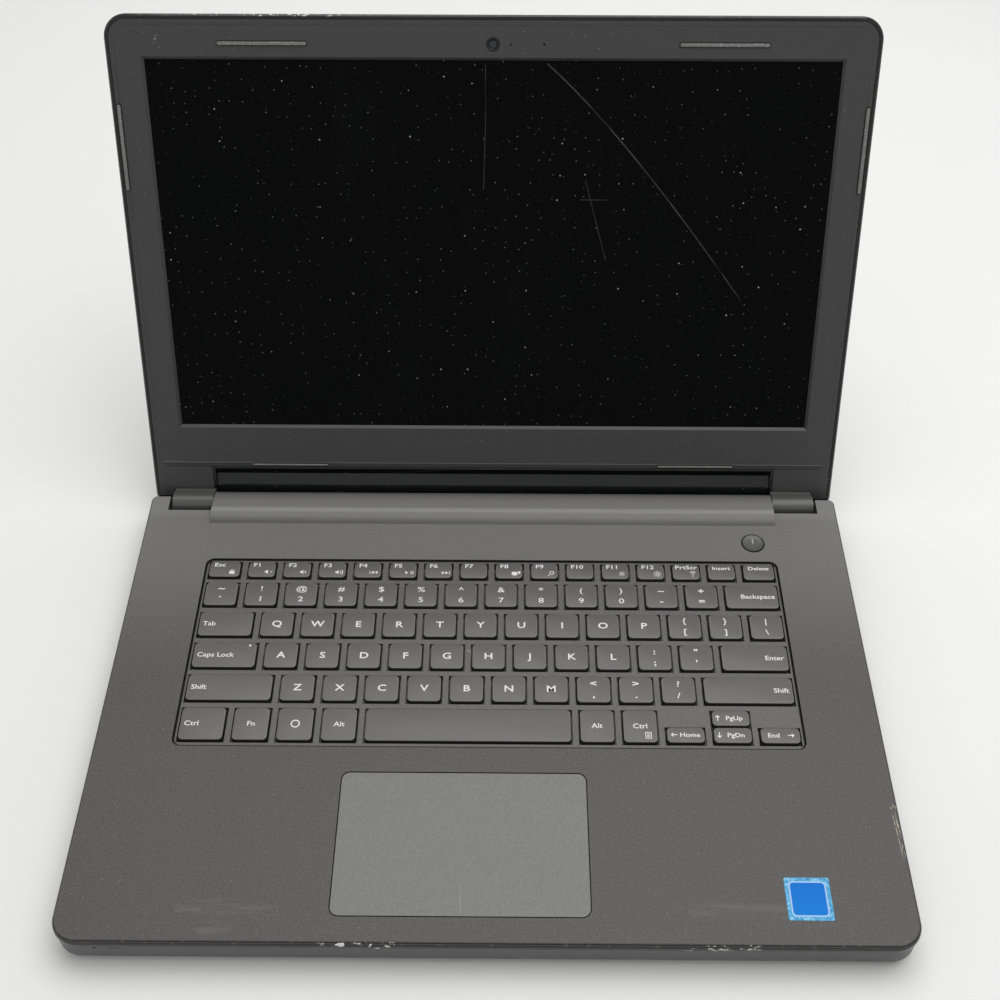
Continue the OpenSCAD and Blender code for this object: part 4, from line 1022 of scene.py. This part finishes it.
# Key, which of its caps, and a word with its side, height and inset, or a sign with its place and scale.
SINGLES = (
    ("modifier_keys", 0, "Ctrl"),
    ("modifier_keys", 1, "Fn", "CENTER"),
    ("modifier_keys", 2, "ring", 0.5, 0.5),
    ("modifier_keys", 3, "Alt", "CENTER"),
    ("modifier_keys", 4, "Alt", "CENTER"),
    ("modifier_keys", 5, "Ctrl", "RIGHT", 2.35, 4.4),
    ("modifier_keys", 5, "menu", 0.72, 0.22, 1.3),
    ("tab_key", 0, "Tab"),
    ("caps_lock_key", 0, "Caps Lock"),
    ("caps_lock_key", 0, "dot", 0.88, 0.86),
    ("left_shift_key", 0, "Shift"),
    ("right_shift_key", 0, "Shift", "RIGHT"),
    ("enter_key", 0, "Enter", "RIGHT"),
    ("backspace_key", 0, "Backspace", "RIGHT", 2.35, 1.6),
    ("left_arrow_key", 0, "left", 0.2, 0.5),
    ("left_arrow_key", 0, "Home", "RIGHT", 2.1, 2.2),
    ("up_arrow_key", 0, "up", 0.16, 0.5),
    ("up_arrow_key", 0, "PgUp", "RIGHT", 2.1, 3.2),
    ("down_arrow_key", 0, "down", 0.16, 0.5),
    ("down_arrow_key", 0, "PgDn", "RIGHT", 2.1, 3.2),
    ("right_arrow_key", 0, "End", "LEFT", 2.1, 3.2),
    ("right_arrow_key", 0, "right", 0.76, 0.5),
)
for node, index, legend, *how in SINGLES:
    print_on = sign_on if legend in SIGNS else word_on
    rows.setdefault(node, []).append(print_on(node, index, legend, *how))
print("legends:", sum(map(len, rows.values())), "on", len(rows), "rows")

# %% The ink, and the legends as meshes
ink = Finish("legend_ink", paint(228, 228, 225), 0.5)
ink.coat(ink.noise(ink.place, 0.8, 3.0).ramp(0.56, 0.76) * 0.4, paint(165, 165, 162), 0.6)
ink_material = ink.done(ink.noise(ink.place, 0.3), 0.003)


def as_mesh(parts, name):
    only(*parts)
    bpy.ops.object.convert(target="MESH")
    made = joined(list(bpy.context.selected_objects), name)
    bpy.ops.object.mode_set(mode="EDIT")
    bpy.ops.mesh.select_all(action="SELECT")
    bpy.ops.mesh.remove_doubles(threshold=0.001 * MM)
    bpy.ops.mesh.normals_make_consistent(inside=False)
    bpy.ops.object.mode_set(mode="OBJECT")
    return made


face_counts = []
for node, parts in rows.items():
    piece = finish_piece(as_mesh(parts, node + "_legends"), ink_material, node, "key_black")
    face_counts.append(len(piece.data.polygons))
print("legend pieces:", len(face_counts), "faces:", sum(face_counts))

# %% [markdown]
# ## The power button
# The button is a shallow dish that the fingertip finds by feel, with a dark gap round it, painted as
# shade on the button's edge, and a short pale mark. It starts as a disc for the flange under the palm
# rest; its top is inset and pulled up for the button, inset again for the rim and twice more for the dish.

# %% Power button
FLANGE = 1.2 * MM
FLANGE_T = 0.75 * MM
SMALL_FACE = 1e-5
power_low, power_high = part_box("power_button")
power_middle = (power_low + power_high) / 2
power_r = (power_high.x - power_low.x) / 2
button_foot = (power_middle.x, power_middle.y, power_low.z)
button = drum("power_disc", button_foot, power_r, FLANGE_T, 72)


def is_crown(face):
    """The wide middle face of the button's top."""
    top = max(v.co.z for v in button.data.vertices)
    return face.normal.z > 0.9 and face.center.z > top - TOUCH and face.area > SMALL_FACE


push(button, is_crown, FLANGE, (0, 0, power_high.z - power_low.z - FLANGE_T))
push(button, is_crown, 0.22 * MM)
pick(button, "FACE", is_crown)
step(0.28 * MM, -0.16 * MM)
step(2.6 * MM, -0.14 * MM)
leave(button, 30)

button_face = moulded("button_black", paint(86, 86, 85), 0.34, 0.4, depth_mm=0.005, grain=0.06, dust=0.2)
x, y, _ = button_face.from_middle(power_low, power_high)
button_r = power_r / MM - FLANGE / MM
# painted shade: the button's edge is painted dark to show the gap round it
button_gap_shade = button_face.radius(x, y).ramp(button_r - 0.5, button_r - 0.35)
button_face.coat(button_gap_shade, paint(12, 12, 12), 0.5)
MARK_MM = 2.8
mark_foot = power_middle / MM
mark_ends = [(mark_foot.x, mark_foot.y + reach) for reach in (0, MARK_MM)]
button_face.coat(button_face.line(button_face.place, *mark_ends, 0.3) * 0.9, paint(205, 205, 203), 0.5)
finish_piece(button, grained(button_face), "power_key", "key_black", "power_button")
print("power button is", round(2 * button_r, 1), "mm across")

# %% [markdown]
# ## The lid's small pieces
# The lid's pieces are drawn as if it were closed, face down, with the hinge axis as the origin, and
# are then turned with it. Six soft strips round the screen keep the closed lid off the palm rest.
# They are grey silicone in a slot whose darkness is painted shade, worn paler and shinier in
# patches. The camera is a tiny glass lens behind a dark window.

# %% Reading the solids of a CAD node
def merged_copy(node):
    """A copy of a CAD node with its loose triangles joined, split into its separate solids."""
    only(cad_nodes[node])
    bpy.ops.object.duplicate(linked=False)
    copy = bpy.context.object
    for key in list(copy.keys()):
        del copy[key]
    bpy.ops.object.mode_set(mode="EDIT")
    bpy.ops.mesh.select_all(action="SELECT")
    bpy.ops.mesh.remove_doubles(threshold=0.001 * MM)
    bpy.ops.mesh.separate(type="LOOSE")
    bpy.ops.object.mode_set(mode="OBJECT")
    return list(bpy.context.selected_objects)


def corners_of(piece, turn=Matrix()):
    """A piece's lowest and highest corners, before a matrix turned it."""
    places = [turn.inverted() @ v.co for v in piece.data.vertices]
    return [Vector(map(extreme, zip(*places))) for extreme in (min, max)]


def solid_boxes(node, turn=Matrix()):
    """The corners of each separate solid of a CAD node."""
    solids = merged_copy(node)
    boxes = [corners_of(solid, turn) for solid in solids]
    for solid in solids:
        bpy.data.objects.remove(solid)
    return boxes


print("solid readers ready")

# %% Bumper strips
SLOT_DEPTH = 0.62 * MM
STRIP_INSET = 0.52 * MM
SIDE_REACH = 1.0 * MM
LOW_DROP = 1.3 * MM
LOW_LIMIT = -30.0 * MM


def settled(low, high):
    """Side strips spread further over the flat face, and the low ones sit at the bezel's crease."""
    if high.x - low.x > high.y - low.y:
        drop = Vector((0, LOW_DROP if high.y > LOW_LIMIT else 0.0, 0))
        return low + drop, high + drop
    reach = Vector((SIDE_REACH, 0, 0))
    return (low - reach, high) if low.x > 0 else (low, high + reach)


def strip_in_slot(low, high):
    """A rounded slot plate, flush with the bezel, with a narrower strip pulled out of it; the plate is
    painted dark later, as shade in the slot.
    """
    plate_z = low.z + SLOT_DEPTH
    strip = block("strip", (low.x, low.y, plate_z), high)
    corner = min(high.x - low.x, high.y - low.y) * 0.45
    tall = (high.z - plate_z) / 2
    bevel_edges(strip, corner, 4, lambda a, b: abs(a.z - b.z) > tall)
    push(strip, lambda face: face.normal.z < -0.9, STRIP_INSET, (0, 0, -SLOT_DEPTH))
    bevel_edges(strip, 0.2 * MM, 3, lambda a, b: max(a.z, b.z) < low.z + TOUCH / 2)
    leave(strip, 50)
    return strip


strip_boxes = [settled(*box) for box in solid_boxes("bezel_bumpers", LID)]
bumpers = joined([strip_in_slot(*box) for box in strip_boxes], "bumper_strips")
bumpers.data.transform(LID)

rubber = Finish("rubber_grey", paint(112, 112, 110), 0.35)
rubber_at = rubber.on_lid()
rubber.mottle(rubber.noise(rubber.stretched(rubber_at, (0.5, 0.5, 1)), 2.2, 4.0), 0.3)
rubber.coat(rubber.noise(rubber_at, 0.9, 4.0).ramp(0.58, 0.68) * 0.6, paint(205, 205, 200), 0.25)
strip_top = min(low.z for low, _ in strip_boxes) / MM
# painted shade: the slot plate and the strip's foot are painted dark as the shade in the slot
slot_shade = rubber.parts(rubber_at)[2].ramp(strip_top + 0.16, strip_top + 0.3)
rubber.coat(slot_shade, paint(14, 14, 14), 0.6)
rubber_material = rubber.done(rubber.noise(rubber_at, 0.5), 0.01)
finish_piece(bumpers, rubber_material, "lid", "rubber_grey", "bezel_bumpers")
print("bumper strips:", len(strip_boxes))

# %% Camera lens
LENS_R = 1.75 * MM
LENS_T = 0.75 * MM
LENS_BACK = 0.12 * MM
WHOLE_FACE = 1.0
RING_FACE = 7.5e-6
GLASS_FACE = 4.2e-6
camera_low, camera_high = corners_of(cad_nodes["camera_module"], LID)
lens_y = (camera_low.y + camera_high.y) / 2
barrel = drum("camera_lens", (0, lens_y, camera_low.z + LENS_BACK), LENS_R, LENS_T, 48)


def facing(most):
    """Picks the face that looks out of the bezel, if it is smaller than so many square metres."""
    return lambda face: face.normal.z < -0.9 and face.area < most


push(barrel, facing(WHOLE_FACE), 0.3 * MM, (0, 0, 0.16 * MM))
push(barrel, facing(RING_FACE), 0.35 * MM, (0, 0, -0.1 * MM))
pick(barrel, "FACE", facing(GLASS_FACE))
step(0.3 * MM, -0.07 * MM)
step(0.3 * MM, -0.03 * MM)
leave(barrel, 40)
barrel.data.transform(LID)

window = Finish("camera_window", paint(13, 13, 14), 0.2, specular=0.4)
window_at = window.on_lid()
window.coat(window.specks(window_at, 2.2, 0.12, 0.4) * 0.5, paint(120, 120, 120), 0.7)
cover(window.done(window.noise(window_at, 3.0), 0.004), "camera_module")
lens_glass = Finish("camera_glass", paint(20, 22, 30), 0.06)
lens_at = lens_glass.on_lid()
u, v, _ = lens_glass.parts(lens_at)
from_centre = lens_glass.radius(u, v + lens_y / MM)
lens_glass.coat(from_centre.band(1.2, 1.9, 0.08), paint(60, 60, 62), 0.3)
lens_glass.coat(from_centre.band(0.5, 0.85, 0.06), paint(44, 50, 78), 0.1)
lens_glass.mottle(lens_glass.noise(lens_at, 0.6), 0.1)
finish_piece(barrel, lens_glass.done(), "lid", "camera_black")
print("camera lens stands", round(-lens_y / MM, 1), "mm above the hinge axis")

# %% [markdown]
# ## Feet and the insides of the ports
# Turned over, a laptop shows its rubber feet: long soft bars with a rounded edge and a shallow
# channel. In the side openings there are things that the eye expects: the tongue of each USB socket
# with its four gold contacts, and the eight spring wires of the network socket.

# %% Feet
SOLE_AREA = 1e-4


def foot(low, high):
    """A bar with round ends, a soft lower edge and a low channel along its sole."""
    piece = block("foot", low, high)
    bevel_edges(piece, (high.y - low.y) * 0.48, 8, lambda a, b: abs(a.z - b.z) > (high.z - low.z) / 2)
    bevel_edges(piece, 0.5 * MM, 3, lambda a, b: max(a.z, b.z) < low.z + TOUCH / 2)
    push(piece, lambda face: face.normal.z < -0.99 and face.area > SOLE_AREA, 1.2 * MM, (0, 0, 0.3 * MM))
    leave(piece, 50)
    return piece


feet_boxes = solid_boxes("rubber_feet")
feet = joined([foot(*box) for box in feet_boxes], "rubber_feet_bars")
sole = moulded("rubber_black", paint(34, 34, 34), 0.75, 0.8, depth_mm=0.03, grain=0.1, dust=0.6)
finish_piece(feet, grained(sole), "base", "rubber_black", "rubber_feet")
print("feet:", len(feet_boxes))

# %% Inside the ports
TONGUE_ENDS = (11.8 * MM, 1.4 * MM)
CONTACT_SETBACK = 0.8 * MM
CONTACT_PITCH = 2.3 * MM
WIRE_ENDS = (2.0 * MM, 11.0 * MM)
WIRE_PITCH = 1.02 * MM
WIRE_HEIGHT = 7.0 * MM
TONGUE_HALF_MM = 5.4
CONTACT_HALF_MM = 0.5
WIRE_HALF_MM = 0.22


def slab(name, ends, middle, half_mm, low, high):
    """A block between two depths in a socket, so wide about a middle, between two heights."""
    half = half_mm * MM
    return block(name, (min(ends), middle - half, low), (max(ends), middle + half, high))


tongues, contacts = [], []
for low, high in solid_boxes("usb_ports"):
    side = 1 if low.x > 0 else -1
    mouth = high.x if side > 0 else low.x
    back, front = (mouth - side * depth for depth in TONGUE_ENDS)
    _, y, z = (low + high) / 2
    tongue = slab("tongue", (back, front), y, TONGUE_HALF_MM, z + 0.25 * MM, z + 2.0 * MM)
    bevel_edges(tongue, 0.3 * MM, 2, lambda a, b: max(abs(a.x - front), abs(b.x - front)) < 1e-6)
    leave(tongue)
    tongues.append(tongue)
    for i in range(4):
        across = y + (i - 1.5) * CONTACT_PITCH
        ends = (back, front - side * CONTACT_SETBACK)
        finger = slab("contact", ends, across, CONTACT_HALF_MM, z + 0.1 * MM, z + 0.3 * MM)
        bevel_edges(finger, 0.06 * MM, 1, lambda a, b: max(a.z, b.z) < z + 0.11 * MM)
        leave(finger)
        contacts.append(finger)

net_low, net_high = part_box("network_port")
ends = [net_low.x + depth for depth in WIRE_ENDS]
for i in range(8):
    across = (net_low.y + net_high.y) / 2 + (i - 3.5) * WIRE_PITCH
    wire_z = net_low.z + WIRE_HEIGHT
    wire = slab("wire", ends, across, WIRE_HALF_MM, wire_z, wire_z + 0.4 * MM)
    bevel_edges(wire, 0.12 * MM, 2, lambda a, b: abs(a.x - b.x) > 5 * MM)
    leave(wire)
    contacts.append(wire)
gold = metal("contact_gold", paint(214, 178, 104), 0.3)
finish_piece(joined(tongues, "usb_tongues"), hidden.material, "base", "part_black")
finish_piece(joined(contacts, "port_contacts"), gold, "base", "copper")
print("tongues:", len(tongues), "contacts:", len(contacts))

# %% [markdown]
# ## Table, light and world
# The table is a large pale sheet with a faint mottle. One wide lamp hangs above and a little behind
# the laptop, as a window would light it, so that the keys' front walls and the lid's face are
# darker than the palm rest; painted shade on the caps' walls and a darker paint on the bezel add
# to this. A plain grey world fills the shadows. Together they light a level
# surface at about the level at which a colour shows as it is written. The camera, and what a
# polished or clear face shows, see the same world as a paler backdrop, so that the picture stays
# light round the laptop with no more light on it.

# %% Table
TABLE_WIDTH = 40.0
TABLE_AHEAD = 0.5
TABLE_GAP = 0.2 * MM
bpy.ops.object.select_all(action="DESELECT")
table_place = (0, TABLE_AHEAD, cad_box[0].z - TABLE_GAP)
bpy.ops.mesh.primitive_plane_add(size=TABLE_WIDTH, location=table_place)
table = bpy.context.object
table.name = "table_top"
apply_place(table)
pick(table, "FACE", lambda face: True)
bpy.ops.mesh.subdivide(number_cuts=3)
bpy.ops.object.mode_set(mode="OBJECT")
table_finish = Finish("table_white", paint(240, 240, 239), 0.75, specular=0.2)
table_finish.mottle(table_finish.noise(table_finish.place, 120.0, 3.0), 0.012)
table_grain = table_finish.noise(table_finish.place, 1.2, 4.0)
table.data.materials.append(table_finish.done(table_grain, 0.02))
table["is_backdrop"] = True
print("table is", table.dimensions.x, "m wide")

# %% Lamp and world
LAMP_PLACE = Vector((0.2, 0.3, 1.15))
LAMP_AIM = Vector((0, 0.02, 0))
LAMP_SIZE = (1.4, 1.0)
LAMP_WATTS = 10.0
WORLD_LEVEL = 0.52
BACKDROP_LEVEL = 0.72
turn = (LAMP_AIM - LAMP_PLACE).to_track_quat("-Z", "Y").to_euler()
bpy.ops.object.light_add(type="AREA", location=LAMP_PLACE, rotation=turn)
lamp = bpy.context.object
lamp.name = "window_lamp"
lamp.data.shape = "RECTANGLE"
lamp.data.size, lamp.data.size_y = LAMP_SIZE
lamp.data.energy = LAMP_WATTS

world = bpy.data.worlds.new("studio")
bpy.context.scene.world = world
world.use_nodes = True
sky = Nodes(world.node_tree)
background = world.node_tree.nodes["Background"]
background.inputs["Color"].default_value = (1.0, 1.0, 1.0, 1.0)
backdrop_rays = ("Is Camera Ray", "Is Glossy Ray", "Is Transmission Ray")
seen = sum(sky.node("LightPath", out=ray) for ray in backdrop_rays).at_most(1.0)
sky.feed(background.inputs["Strength"], seen * (BACKDROP_LEVEL - WORLD_LEVEL) + WORLD_LEVEL)
bpy.context.scene.view_settings.view_transform = "Standard"
print("lamp", LAMP_WATTS, "W, world", WORLD_LEVEL)

# %% [markdown]
# ## Sizes
# The looks must not make the laptop bigger, so the box of the imported model and the box of what is
# shown are both measured, and how far the second differs from the first is printed.

# %% Sizes
visual_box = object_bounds()
grown = [round((b - a) / MM, 3) for low, high in zip(cad_box, visual_box) for a, b in zip(low, high)]
print("difference from the CAD box, mm:", grown)
